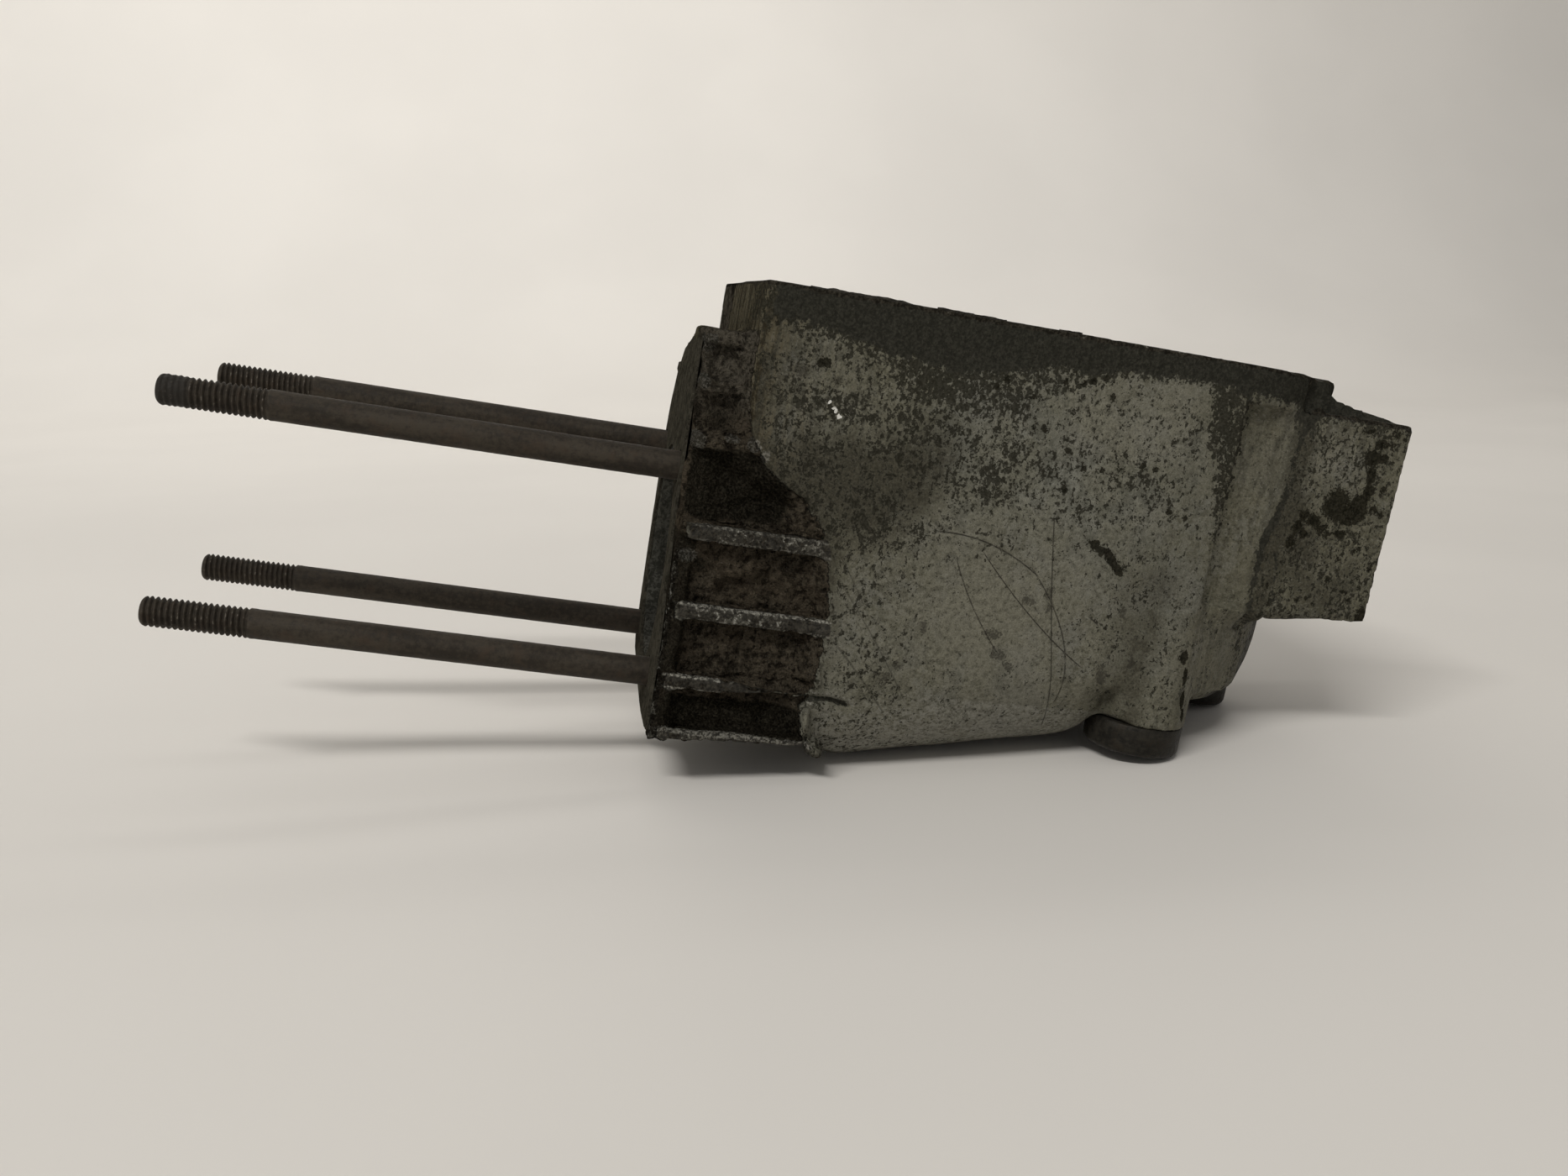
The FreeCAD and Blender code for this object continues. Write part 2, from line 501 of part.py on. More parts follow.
PATCHES = [
    [("22", "-48.9"), ("31", "-49.5"), ("43", "-49.2"), ("49", "-48.1"), ("46.5", "-45.2"), ("38", "-46.1"), ("30", "-44.6"), ("24", "-46.4")],
    [("54", "-49.3"), ("63", "-49.6"), ("71", "-49.1"), ("73.5", "-46.8"), ("67", "-46.4"), ("66", "-41.8"), ("60", "-47.4"), ("56", "-46.9")],
    [("86", "-49.4"), ("92", "-49.7"), ("93.5", "-47.6"), ("88", "-47.2")],
    [("14.5", "-20"), ("19.8", "-22"), ("20.4", "-4"), ("18", "9"), ("20", "24"), ("15.6", "26"), ("14.2", "6")],
    [("30", "42.6"), ("52", "43.4"), ("55", "47.4"), ("41", "49.2"), ("28", "47.8")],
    [("70", "42.4"), ("90", "43"), ("91.5", "48.8"), ("78", "49.3"), ("72", "46.6")],
    [("106", "42.2"), ("118", "43.4"), ("120", "47.6"), ("110", "48.8")],
    [("178.4", "-14"), ("182", "-13"), ("183.4", "0"), ("181.6", "13.6"), ("178.6", "12"), ("180.6", "2"), ("180.4", "-6")],
]
patches = [pad("cover_gasket_patch_%d" % n, "XY", "case_top", "crumb_t", p) for n, p in enumerate(PATCHES)]
screw_clear = [cylinder("cover_gasket_hole_%d" % n, "screw_r + 0.4", "10", (x, y, "case_top - 4"))
               for n, (x, y) in enumerate([("60", "-44")])]
patch_group = doc.addObject("Part::Compound", "cover_gasket_patches")
patch_group.Links = patches
doc.recompute()
cover_gasket = cut("cover_gasket_remains", patch_group, screw_clear[0])
NODES.append((cover_gasket, "cover_gasket_remains", V(0, 0, 0)))

# ---------------------------------------------------------------- set the block down on the bench
REST = FreeCAD.Placement(V(D["rest_x"], D["rest_y"], D["rest_z"]), FreeCAD.Rotation(V(0, 1, 0), D["rest_tilt"]))
for obj, label, shift in NODES:
    obj.Label = label
    obj.Placement = REST.multiply(FreeCAD.Placement(shift, FreeCAD.Rotation()))
doc.recompute()

# ---------------------------------------------------------------- checks, then one STEP file for each piece
for obj in doc.Objects:
    if "Invalid" in obj.State or "Error" in obj.State:
        raise RuntimeError("%s did not compute: %s" % (obj.Name, obj.State))
os.makedirs("parts", exist_ok=True)
lo, hi = [1e9] * 3, [-1e9] * 3
for obj, label, shift in NODES:
    shape = obj.Shape
    if shape.isNull() or not shape.isValid() or shape.Volume <= 0:
        raise RuntimeError("%s has no sound solid" % label)
    b = shape.optimalBoundingBox()
    lo = [min(lo[0], b.XMin), min(lo[1], b.YMin), min(lo[2], b.ZMin)]
    hi = [max(hi[0], b.XMax), max(hi[1], b.YMax), max(hi[2], b.ZMax)]
    print("%-22s solids %d  volume %.0f mm3  box %.2f..%.2f  %.2f..%.2f  %.2f..%.2f" % (
        label, len(shape.Solids), shape.Volume, b.XMin, b.XMax, b.YMin, b.YMax, b.ZMin, b.ZMax))
for obj, label, shift in NODES:
    obj.Shape.exportStep("parts/%s.step" % label)
print("whole block", [round(v, 3) for v in lo], [round(v, 3) for v in hi])
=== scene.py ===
import math

import bpy
import numpy as np
from mathutils import Matrix, Vector
from mathutils.geometry import delaunay_2d_cdt


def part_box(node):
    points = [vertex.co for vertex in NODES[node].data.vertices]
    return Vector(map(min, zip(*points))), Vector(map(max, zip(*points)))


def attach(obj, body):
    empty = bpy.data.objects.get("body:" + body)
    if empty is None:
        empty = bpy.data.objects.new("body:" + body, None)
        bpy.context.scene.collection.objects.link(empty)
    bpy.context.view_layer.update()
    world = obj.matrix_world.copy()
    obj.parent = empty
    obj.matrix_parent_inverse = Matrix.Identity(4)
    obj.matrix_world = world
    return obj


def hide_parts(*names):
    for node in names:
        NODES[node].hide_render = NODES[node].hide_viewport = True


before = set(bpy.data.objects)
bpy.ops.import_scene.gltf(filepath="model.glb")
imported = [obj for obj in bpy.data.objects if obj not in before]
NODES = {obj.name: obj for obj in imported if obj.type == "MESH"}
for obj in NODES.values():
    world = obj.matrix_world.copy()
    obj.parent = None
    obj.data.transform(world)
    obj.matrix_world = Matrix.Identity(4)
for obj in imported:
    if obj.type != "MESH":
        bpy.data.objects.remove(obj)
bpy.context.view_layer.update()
rng = np.random.default_rng(11)

# ------------------------------------------------------------------ casting axes and row frame, in millimetres
TILT = math.radians(10.0)
CA, SA = math.cos(TILT), math.sin(TILT)
SHIFT = np.array([-34.43, 0.0, 55.135])


def to_row(p):
    p = np.asarray(p, float)
    return np.stack([p[..., 0] * CA + p[..., 2] * SA, p[..., 1], -p[..., 0] * SA + p[..., 2] * CA], -1) + SHIFT


def to_cast(p):
    q = np.asarray(p, float) - SHIFT
    return np.stack([q[..., 0] * CA - q[..., 2] * SA, q[..., 1], q[..., 0] * SA + q[..., 2] * CA], -1)


def turn_to_cast(v):
    return np.stack([v[:, 0] * CA - v[:, 2] * SA, v[:, 1], v[:, 0] * SA + v[:, 2] * CA], -1)


def turn_to_row(v):
    return np.stack([v[:, 0] * CA + v[:, 2] * SA, v[:, 1], -v[:, 0] * SA + v[:, 2] * CA], -1)


# ------------------------------------------------------------------ noise in numpy
def _hash(i, j, k, seed):
    h = (i * 374761393 + j * 668265263 + k * 1440662683 + seed * 1274126177) & 0xFFFFFFFF
    h = ((h ^ (h >> 13)) * 1274126177) & 0xFFFFFFFF
    h = ((h ^ (h >> 16)) * 2246822519) & 0xFFFFFFFF
    return ((h ^ (h >> 15)) & 0xFFFFFF) / float(0xFFFFFF)


def vnoise(p, size, seed=0):
    """Smooth value noise from 0 to 1 with cells of that size."""
    q = p / size
    f = np.floor(q)
    i, j, k = (f[:, n].astype(np.int64) for n in range(3))
    t = q - f
    t = t * t * (3 - 2 * t)
    out = 0.0
    for a in (0, 1):
        for b in (0, 1):
            for c in (0, 1):
                w = (t[:, 0] if a else 1 - t[:, 0]) * (t[:, 1] if b else 1 - t[:, 1]) * (t[:, 2] if c else 1 - t[:, 2])
                out = out + w * _hash(i + a, j + b, k + c, seed)
    return out


def fbm(p, size, seed=0, octaves=4, gain=0.5):
    total, amp, norm = 0.0, 1.0, 0.0
    for o in range(octaves):
        total = total + amp * vnoise(p, size / 2 ** o, seed + 17 * o)
        norm += amp
        amp *= gain
    return total / norm


def ramp(x, lo, hi):
    t = np.clip((x - lo) / (hi - lo), 0, 1)
    return t * t * (3 - 2 * t)


def window(x, a, b, soft):
    return ramp(x, a - soft, a) * (1 - ramp(x, b, b + soft))


def bump(d, r):
    """1 at distance 0, falling smoothly to 0 at r."""
    return 1 - ramp(d, 0, r)


# ------------------------------------------------------------------ mesh helpers
def mesh_arrays(me):
    n = len(me.vertices)
    co = np.empty(n * 3, np.float32)
    me.vertices.foreach_get("co", co)
    no = np.empty(n * 3, np.float32)
    me.vertices.foreach_get("normal", no)
    ed = np.empty(len(me.edges) * 2, np.int32)
    me.edges.foreach_get("vertices", ed)
    return co.reshape(-1, 3).astype(float), no.reshape(-1, 3).astype(float), ed.reshape(-1, 2)


def set_co(me, co):
    me.vertices.foreach_set("co", np.ascontiguousarray(co, np.float32).ravel())
    me.update()


def relax(co, ed, weight, times, lam=0.5):
    n = len(co)
    deg = np.maximum(np.bincount(ed.ravel(), minlength=n), 1).astype(float)[:, None]
    for _ in range(times):
        acc = np.stack([np.bincount(ed[:, 0], co[ed[:, 1], d], n) + np.bincount(ed[:, 1], co[ed[:, 0], d], n) for d in range(3)], -1)
        co = co + (acc / deg - co) * (lam * weight[:, None])
    return co


def spread(v, ed, times):
    n = len(v)
    deg = np.maximum(np.bincount(ed.ravel(), minlength=n), 1).astype(float)
    for _ in range(times):
        acc = np.bincount(ed[:, 0], v[ed[:, 1]], n) + np.bincount(ed[:, 1], v[ed[:, 0]], n)
        v = 0.4 * v + 0.6 * acc / deg
    return v


def attribute(me, name, values):
    a = me.attributes.get(name) or me.attributes.new(name, "FLOAT", "POINT")
    a.data.foreach_set("value", np.ascontiguousarray(values, np.float32))


def vector_attribute(me, name, values):
    a = me.attributes.get(name) or me.attributes.new(name, "FLOAT_VECTOR", "POINT")
    a.data.foreach_set("vector", np.ascontiguousarray(values, np.float32).ravel())


def new_object(name, me, body="root"):
    o = bpy.data.objects.new(name, me)
    bpy.context.scene.collection.objects.link(o)
    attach(o, body)
    return o


def smooth_faces(me, on=True):
    me.polygons.foreach_set("use_smooth", [on] * len(me.polygons))
    me.update()


def applied(obj):
    dg = bpy.context.evaluated_depsgraph_get()
    me = bpy.data.meshes.new_from_object(obj.evaluated_get(dg))
    bpy.data.objects.remove(obj)
    return me


def temp(me):
    o = bpy.data.objects.new("tmp", me)
    bpy.context.scene.collection.objects.link(o)
    return o


# ------------------------------------------------------------------ material helpers
class Nodes:
    """Short names for the shader nodes that the materials below are made of."""

    def __init__(self, name):
        self.mat = bpy.data.materials.new(name)
        self.mat.use_nodes = True
        self.t = self.mat.node_tree
        self.t.nodes.clear()
        self.out = self.t.nodes.new("ShaderNodeOutputMaterial")
        self.bsdf = self.t.nodes.new("ShaderNodeBsdfPrincipled")
        self.t.links.new(self.bsdf.outputs[0], self.out.inputs[0])
        tc = self.t.nodes.new("ShaderNodeTexCoord")
        self.obj = tc.outputs["Object"]

    def put(self, socket, v):
        if hasattr(v, "is_linked") or isinstance(v, bpy.types.NodeSocket):
            self.t.links.new(v, socket)
        else:
            socket.default_value = v

    def math(self, op, a, b=0.0, c=None, clamp=False):
        n = self.t.nodes.new("ShaderNodeMath")
        n.operation = op
        n.use_clamp = clamp
        self.put(n.inputs[0], a)
        self.put(n.inputs[1], b)
        if c is not None:
            self.put(n.inputs[2], c)
        return n.outputs[0]

    def noise(self, scale, detail=4.0, rough=0.55, distort=0.0, vec=None, squash=None):
        n = self.t.nodes.new("ShaderNodeTexNoise")
        n.inputs["Scale"].default_value = scale
        n.inputs["Detail"].default_value = detail
        n.inputs["Roughness"].default_value = rough
        n.inputs["Distortion"].default_value = distort
        v = vec if vec is not None else self.obj
        if squash is not None:
            m = self.t.nodes.new("ShaderNodeMapping")
            m.inputs["Scale"].default_value = squash
            self.t.links.new(v, m.inputs["Vector"])
            v = m.outputs[0]
        self.t.links.new(v, n.inputs["Vector"])
        return n.outputs[0]

    def noise_color(self, scale, detail=2.0, rough=0.6, vec=None):
        n = self.t.nodes.new("ShaderNodeTexNoise")
        n.inputs["Scale"].default_value = scale
        n.inputs["Detail"].default_value = detail
        n.inputs["Roughness"].default_value = rough
        self.t.links.new(vec if vec is not None else self.obj, n.inputs["Vector"])
        return n.outputs[1]

    def vec(self, op, a, b):
        n = self.t.nodes.new("ShaderNodeVectorMath")
        n.operation = op
        self.t.links.new(a, n.inputs[0])
        if isinstance(b, (int, float)):
            if op == "SCALE":
                n.inputs["Scale"].default_value = b
            else:
                n.inputs[1].default_value = (b, b, b)
        else:
            self.t.links.new(b, n.inputs[1])
        return n.outputs[0]

    def vec_add(self, a, b):
        return self.vec("ADD", a, b)

    def vec_sub(self, a, b):
        return self.vec("SUBTRACT", a, b)

    def vec_scale(self, a, b):
        return self.vec("SCALE", a, b)

    def voronoi(self, scale, feature="F1", vec=None, random=1.0):
        n = self.t.nodes.new("ShaderNodeTexVoronoi")
        n.feature = feature
        n.inputs["Scale"].default_value = scale
        n.inputs["Randomness"].default_value = random
        self.t.links.new(vec if vec is not None else self.obj, n.inputs["Vector"])
        return n.outputs["Distance"]

    def attr(self, name):
        n = self.t.nodes.new("ShaderNodeAttribute")
        n.attribute_name = name
        return n.outputs["Fac"]

    def attr_vec(self, name):
        n = self.t.nodes.new("ShaderNodeAttribute")
        n.attribute_name = name
        return n.outputs["Vector"]

    def xyz(self, vec):
        n = self.t.nodes.new("ShaderNodeSeparateXYZ")
        self.t.links.new(vec, n.inputs[0])
        return n.outputs[0], n.outputs[1], n.outputs[2]

    def step(self, v, lo, hi, a=0.0, b=1.0):
        n = self.t.nodes.new("ShaderNodeMapRange")
        n.interpolation_type = "SMOOTHSTEP"
        self.put(n.inputs["Value"], v)
        n.inputs["From Min"].default_value = lo
        n.inputs["From Max"].default_value = hi
        n.inputs["To Min"].default_value = a
        n.inputs["To Max"].default_value = b
        return n.outputs[0]

    def mix(self, fac, a, b):
        n = self.t.nodes.new("ShaderNodeMix")
        n.data_type = "RGBA"
        n.clamp_factor = True
        self.put(n.inputs[0], fac)
        for s, v in ((n.inputs[6], a), (n.inputs[7], b)):
            if isinstance(v, tuple):
                s.default_value = (*v, 1.0) if len(v) == 3 else v
            else:
                self.t.links.new(v, s)
        return n.outputs[2]

    def lerp(self, fac, a, b):
        n = self.t.nodes.new("ShaderNodeMix")
        n.data_type = "FLOAT"
        n.clamp_factor = True
        self.put(n.inputs[0], fac)
        self.put(n.inputs[2], a)
        self.put(n.inputs[3], b)
        return n.outputs[0]

    def mul(self, a, b):
        return self.math("MULTIPLY", a, b)

    def add(self, a, b):
        return self.math("ADD", a, b)

    def bumps(self, layers):
        """layers: (height socket, distance in metres, strength)."""
        normal = None
        for height, distance, strength in layers:
            n = self.t.nodes.new("ShaderNodeBump")
            n.inputs["Distance"].default_value = distance
            self.put(n.inputs["Strength"], strength)
            self.t.links.new(height, n.inputs["Height"])
            if normal is not None:
                self.t.links.new(normal, n.inputs["Normal"])
            normal = n.outputs[0]
        self.t.links.new(normal, self.bsdf.inputs["Normal"])

    def set(self, **kw):
        names = {"color": "Base Color", "rough": "Roughness", "metal": "Metallic", "spec": "Specular IOR Level"}
        for k, v in kw.items():
            s = self.bsdf.inputs[names[k]]
            if isinstance(v, tuple):
                s.default_value = (*v, 1.0)
            else:
                self.put(s, v)
        return self.mat


# ------------------------------------------------------------------ the casting
STEP_Z = [-44, -40, -34, -26.4, -17, -4.6, 0.9, 9.4, 17.8, 25.7, 29, 33.4, 40, 48.5, 80]
STEP_X = [52, 46, 41.6, 40.6, 41.1, 41.8, 41.3, 39.3, 37.2, 31.5, 25.5, 19.5, 14.6, 12.4, 12.4]
VALLEY_Z = [4, 10, 19, 31, 34, 39, 46, 55, 66, 72, 78]
VALLEY_X = [157.0, 157.5, 156.9, 156.6, 157.2, 158.6, 160.2, 160.4, 161.4, 162.4, 164.0]
BAND_X = [10, 14, 21, 29, 36, 43, 51, 60, 68, 78, 86, 97, 111, 122, 132, 140, 150, 170]
BAND_Z = [71, 70.5, 70, 69.6, 68.4, 66.4, 65.6, 64.2, 64.8, 67.0, 69.4, 69.6, 71.8, 72.4, 72.6, 70.9, 71.0, 70]


RIBS = [(-39.9, -36.6, 48.6), (-26.4, -22.4, 48.6), (-8.0, -3.6, 48.6), (12.3, 16.7, 48.6), (34.6, 39.0, 46.5), (48.6, 52.6, 45.0), (60.4, 64.2, 43.5)]


def on_ribs(y, z, inset=1.5):
    """How far a point of the neck's side belongs to a rib's outer face."""
    best = np.zeros(len(y))
    for low, high, face in RIBS:
        best = np.maximum(best, ramp(np.abs(y), face - inset - 0.8, face - inset + 0.4) * window(z, low, high, 0.5))
    return best


def casting_mesh():
    """The casting's skin: the CAD node remeshed, its cast corners softened, the crust, dents and texture set on it, and thinned where the photo doesn't look."""
    lo, hi = (np.array(v) * 1000 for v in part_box("crankcase"))
    me = NODES["crankcase"].data.copy()
    me.materials.clear()
    me.transform(Matrix.Scale(1000, 4))
    tmp = temp(me)
    tmp.modifiers.new("weld", "WELD").merge_threshold = 0.002
    mod = tmp.modifiers.new("remesh", "REMESH")
    mod.mode = "VOXEL"
    mod.voxel_size = 0.78
    me = applied(tmp)
    co, no, ed = mesh_arrays(me)
    x, y, z = to_cast(co).T

    # soft blends of the cast skin: wall into columns, bowl, lugs and belly
    hollow = (np.abs(y) < 42.5) & (z > 20) & (x > 14) & (x < 177)
    hollow |= (np.abs(y) < 32) & (z > -24) & (x < 118) & (x > 42)
    cast_blend = (ramp(x, 104, 118) * (1 - ramp(x, 184, 189)) * (1 - ramp(z, 62, 72)) * ramp(z, -15, -7)
                  + window(x, 46, 127, 3) * (1 - ramp(z, -10, 6)))
    cast_blend = np.clip(cast_blend, 0, 1) * ~hollow
    co = relax(co, ed, np.ones(len(co)), 2)
    co = relax(co, ed, spread(cast_blend, ed, 3), 38)
    set_co(me, co)

    # recesses beside the neck fill with baked crust: floors come up, and the corners to the ribs and the wall get a fillet
    co, no, ed = mesh_arrays(me)
    c, n = to_cast(co), turn_to_cast(no)
    x, y, z = c.T
    nx, ny, nz = n.T
    xs = np.interp(z, STEP_Z, STEP_X)
    edge_out = np.interp(z, [10, 16, 20], [48.6, 46.5, 46.0])
    in_recess = (x < xs + 0.4) & (x > 3.0) & (np.abs(y) > 33) & (z < 61) & (z > -41) & ~((z > 48.6) & (x > 13.0))
    level = np.select([z > 52.6, z > 39, z > 16.7, z > -22.4], [40.6, 40.3, 41.6, 43.9], 43.2)
    above = z - np.select([z > 52, z > 39, z > 16, z > -3, z > -22, z > -60], [52.6, 39.0, 16.7, -3.6, -22.4, -40.0])
    level = level + 1.2 * bump(above, 5.0) + 2.2 * bump(x - 4.0, 4.0)
    near = np.select([z < 16.5, z < 38.5], [4.9 * (1 - ramp(xs - x, -0.5, 6.5)), 7.4 * (1 - ramp(xs - x, 0, 14.0))], 5.6 * (1 - ramp(xs - x, 0, 5.0)))
    lumps = fbm(c, 8.0, 3, 4)
    fine = fbm(c, 2.4, 9, 3)
    ridge = bump(np.abs((z - 4.0) - (x - 14) * 0.42), 2.6) * window(x, 10, 27, 3) * 2.2
    pit = bump(np.abs((z - 1.0) - (x - 14) * 0.30), 2.4) * window(x, 14, 26, 3) * 1.8
    level = level + (4.6 * np.clip(lumps - 0.46, -0.14, 1) + 1.2 * (fine - 0.5) + ridge - pit) * (1 - 0.6 * near / 7.4) + near
    level = np.minimum(level, np.where(xs - x < 7, 48.7, np.select([z > 52.6, z > 39, z > 16.7], [41.9, 42.8, 45.6], 46.8)))
    fill = in_recess & (np.abs(y) < level)
    c[:, 1] = np.where(fill, np.sign(y) * level, y)
    co = to_row(c)
    filled = spread(fill.astype(float), ed, 2)
    co = relax(co, ed, filled, 10)
    soft = spread(in_recess.astype(float), ed, 2)
    co = relax(co, ed, soft, 4)
    set_co(me, co)
    co, no, ed = mesh_arrays(me)
    c, n = to_cast(co), turn_to_cast(no)
    x, y, z = c.T
    nx, ny, nz = n.T
    # crumbs over the crust
    move = filled * ((fbm(c, 4.2, 15, 4) - 0.5) * 3.4 + (fbm(c, 1.9, 25, 2) - 0.5) * 1.2)

    # belly wall swells gently
    wall = (y < -40) & (ny < -0.4) & (x > xs - 1) & (x < 186)
    swell = np.exp(-(((x - 84) / 42) ** 2 + ((z + 4) / 34) ** 2))
    move += wall * ramp(-ny, 0.4, 0.9) * swell * 0.9

    # crease between the case's end and the lug, a second one beside it low down, and the soft hollow ahead of them
    xv = np.interp(z, VALLEY_Z, VALLEY_X)
    on_lug = (y < -36) & (z > 7) & (z < 74)
    move -= on_lug * bump(np.abs(x - xv), 3.4) * 0.9
    move -= on_lug * bump(np.abs(x - xv), 1.4) * 0.7
    xv2 = np.interp(z, [10, 18, 26, 34, 44], [163.6, 163.0, 161.8, 160.6, 160.0])
    move -= on_lug * bump(np.abs(x - xv2), 1.5) * 0.7 * (1 - ramp(z, 32, 40))
    move += on_lug * bump(np.abs(x - (xv2 + xv) / 2), 2.2) * 0.5 * (1 - ramp(z, 28, 36))
    xv3 = np.interp(z, [-14, 0, 14, 24, 34, 46], [145.5, 144.0, 144.8, 147.5, 151.5, 156.0])
    move -= (y < -30) * (ny < -0.2) * bump(np.abs(x - xv3), 5.0) * 0.9 * window(z, 12, 30, 8)
    move += (y < -40) * bump(np.hypot(x - 152.5, (z - 33) * 0.8), 7.0) * 0.5

    # small chips and dents
    def dent(px, pz, rx, rz, deep_by, spin=0.0):
        a = math.radians(spin)
        u = (x - px) * math.cos(a) + (z - pz) * math.sin(a)
        v = -(x - px) * math.sin(a) + (z - pz) * math.cos(a)
        d = np.sqrt((u / rx) ** 2 + (v / rz) ** 2) + 0.5 * (fbm(c, 2.0, 5, 2) - 0.5)
        return (y < -38) * (1 - ramp(d, 0.6, 1.1)) * deep_by

    for px, pz, rx, rz, deep_by, spin in [(107.6, 25.9, 2.0, 1.5, 0.45, -30), (114.0, 21.8, 4.6, 1.7, 0.55, -47), (92.6, 9.0, 1.9, 1.4, 0.15, 10),
                                          (97.9, 11.3, 1.4, 1.8, 0.2, 0), (28.9, 60.5, 1.6, 1.2, 0.3, 0),
                                          (141.2, -12.5, 0.8, 2.4, 0.3, -14), (138.8, -0.6, 1.3, 2.0, 0.35, 8)]:
        move -= dent(px, pz, rx, rz, deep_by, spin)

    # cleft where the third rib runs into the belly, and the curled lip above it
    zc = np.interp(x, [36, 40, 45, 50, 54], [-25.0, -24.6, -24.3, -25.3, -26.6])
    move -= (y < -38) * bump(np.abs(z - zc), 1.7) * window(x, 38, 50, 3) * 1.6
    lip_x = np.interp(z, [-20, -16, -12, -8, -5], [40.6, 38.6, 38.2, 39.4, 41.2])
    move += (y < -38) * bump(np.abs(x - lip_x), 1.6) * window(z, -18, -7, 3) * 1.0

    # the belly's low left end bulges over the step
    move += (y < -36) * (nx < -0.25) * window(z, -38, -28, 3) * bump(np.abs(x - xs), 4.0) * 2.2

    # worn and chipped rib edges
    ribs = (y < -44.0) & (x < xs - 0.6) & (x > -0.5) & (z < 66)
    move -= ribs * np.clip(fbm(c, 3.0, 21, 3) - 0.55, 0, 1) * 3.2
    # the third rib thins out and sinks to the right
    move -= (y < -45.5) * window(z, -27.5, -21.0, 0.8) * ramp(x, 14, 34) * (1 - ramp(x, 38, 41)) * 1.9
    # upper neck ribs are rounded lumps with broken tops
    upper = (x < 11.8) & (x > -1) & (y < -20) & (z > 28)
    move -= upper * (np.clip(fbm(c, 4.5, 31, 3) - 0.48, 0, 1) * 2.4)
    # behind, the neck's flange is stepped the same way
    ledges = bump(np.abs(z - 62.0), 4.2) + bump(np.abs(z - 50.5), 4.2) + bump(np.abs(z - 36.8), 4.2) + bump(np.abs(z - 24.0), 4.0)
    move -= (x < 6) * (y > 25) * ramp(z, 20, 26) * (z < 70) * ramp(ny, 0.25, 0.6) * (1 - np.clip(ledges, 0, 1)) * 1.9
    # broken crest behind the lug
    crest = (x > 158) & (z > 69.0) & (y > -42.5) & (y < -33)
    move += crest * (1 - ramp(x, 176, 183)) * (fbm(c, 4.2, 41, 3) - 0.60) * 6.0
    # rear neck edge and the deck's rim are rough too
    rim = (x < 5) & (np.abs(y) > 30)
    move += rim * (fbm(c, 4.0, 51, 3) - 0.62) * 1.0
    # the lug's free edge has a few small nicks
    free = (x > 186) & (y < -40)
    move -= free * np.clip(fbm(c, 3.2, 55, 3) - 0.62, 0, 1) * 0.8

    # cast skin
    end_top = ramp(x, 156, 164) * ramp(z, 73, 76) * (1 - ramp(y, -12, -6))
    machined = ((nz > 0.93) & (z > 76)) | ((nx > 0.93) & (x > 190)) | ((nx < -0.93) & (x < 1.0))
    skin = np.where(machined, 0.15, 1.0)
    move += skin * ((fbm(c, 14.0, 61, 3) - 0.5) * 0.6 + (fbm(c, 2.0, 71, 2) - 0.5) * 0.26)
    # the joint edge is nicked
    edge = (z > 75.5) & (y < -40)
    move -= edge * np.clip(fbm(c, 3.4, 81, 3) - 0.60, 0, 1) * 1.8
    co = co + no * move[:, None]
    # the lug's free edge is machined straight
    q = to_cast(co)
    free_edge = (q[:, 1] < -30) & (q[:, 2] > 14) & (q[:, 2] < 68) & (nx > 0.30)
    edge_x = float(np.median(q[free_edge & (nx > 0.9), 0]))
    q[:, 0] = np.where(free_edge & (np.abs(q[:, 0] - edge_x) < 1.0), edge_x - 0.10 * fbm(q, 2.5, 57, 2), q[:, 0])
    strip = (q[:, 0] > edge_x - 4.0) & (q[:, 2] > 14) & (q[:, 2] < 68) & (ny < -0.25) & (q[:, 1] < -40)
    flat_y = float(np.median(q[strip, 1]))
    q[:, 1] = np.where(strip, q[:, 1] + (flat_y - q[:, 1]) * ramp(q[:, 0], edge_x - 4.0, edge_x - 1.5), q[:, 1])
    co = to_row(q)
    # the case's top end is rounded over
    co = relax(co, ed, end_top, 16)
    co = np.clip(co, lo + 0.002, hi - 0.002)
    set_co(me, co)

    # thin the mesh inside and behind, where the photo doesn't look
    co, no, ed = mesh_arrays(me)
    x, y, z = to_cast(co).T
    eye = to_row(np.array([-30.6, -369.1, 66.1]))
    view = co - eye
    view /= np.linalg.norm(view, axis=1)[:, None]
    facing = (view * no).sum(1) < 0.10
    hollow = (np.abs(y) < 42) & (z > 20) & (x > 13) & (x < 176)
    hollow |= (np.abs(y) < 31) & (x > 6) & (x < 150) & (z > -30)
    hollow |= (np.sqrt(y ** 2 + z ** 2) < 31)
    seen = facing & ~hollow & ((y < -8) | (x < 14) | (z < 0))
    tmp = temp(me)
    vg = tmp.vertex_groups.new(name="thin")
    w = spread(1.0 - seen.astype(float), ed, 2)
    hard = np.nonzero(w > 0.85)[0]
    vg.add([int(v) for v in hard], 1.0, "REPLACE")
    tris = sum(len(p.vertices) - 2 for p in me.polygons)
    dec = tmp.modifiers.new("thin", "DECIMATE")
    dec.ratio = min(1.0, 178000 / tris)
    dec.vertex_group = "thin"
    tmp.vertex_groups.active_index = 0
    out = applied(tmp)
    set_co(out, np.clip(mesh_arrays(out)[0], lo + 0.002, hi - 0.002))
    out.name = "casting"
    print("casting triangles", tris, "->", sum(len(p.vertices) - 2 for p in out.polygons), "kept verts", int(seen.sum()))
    return out


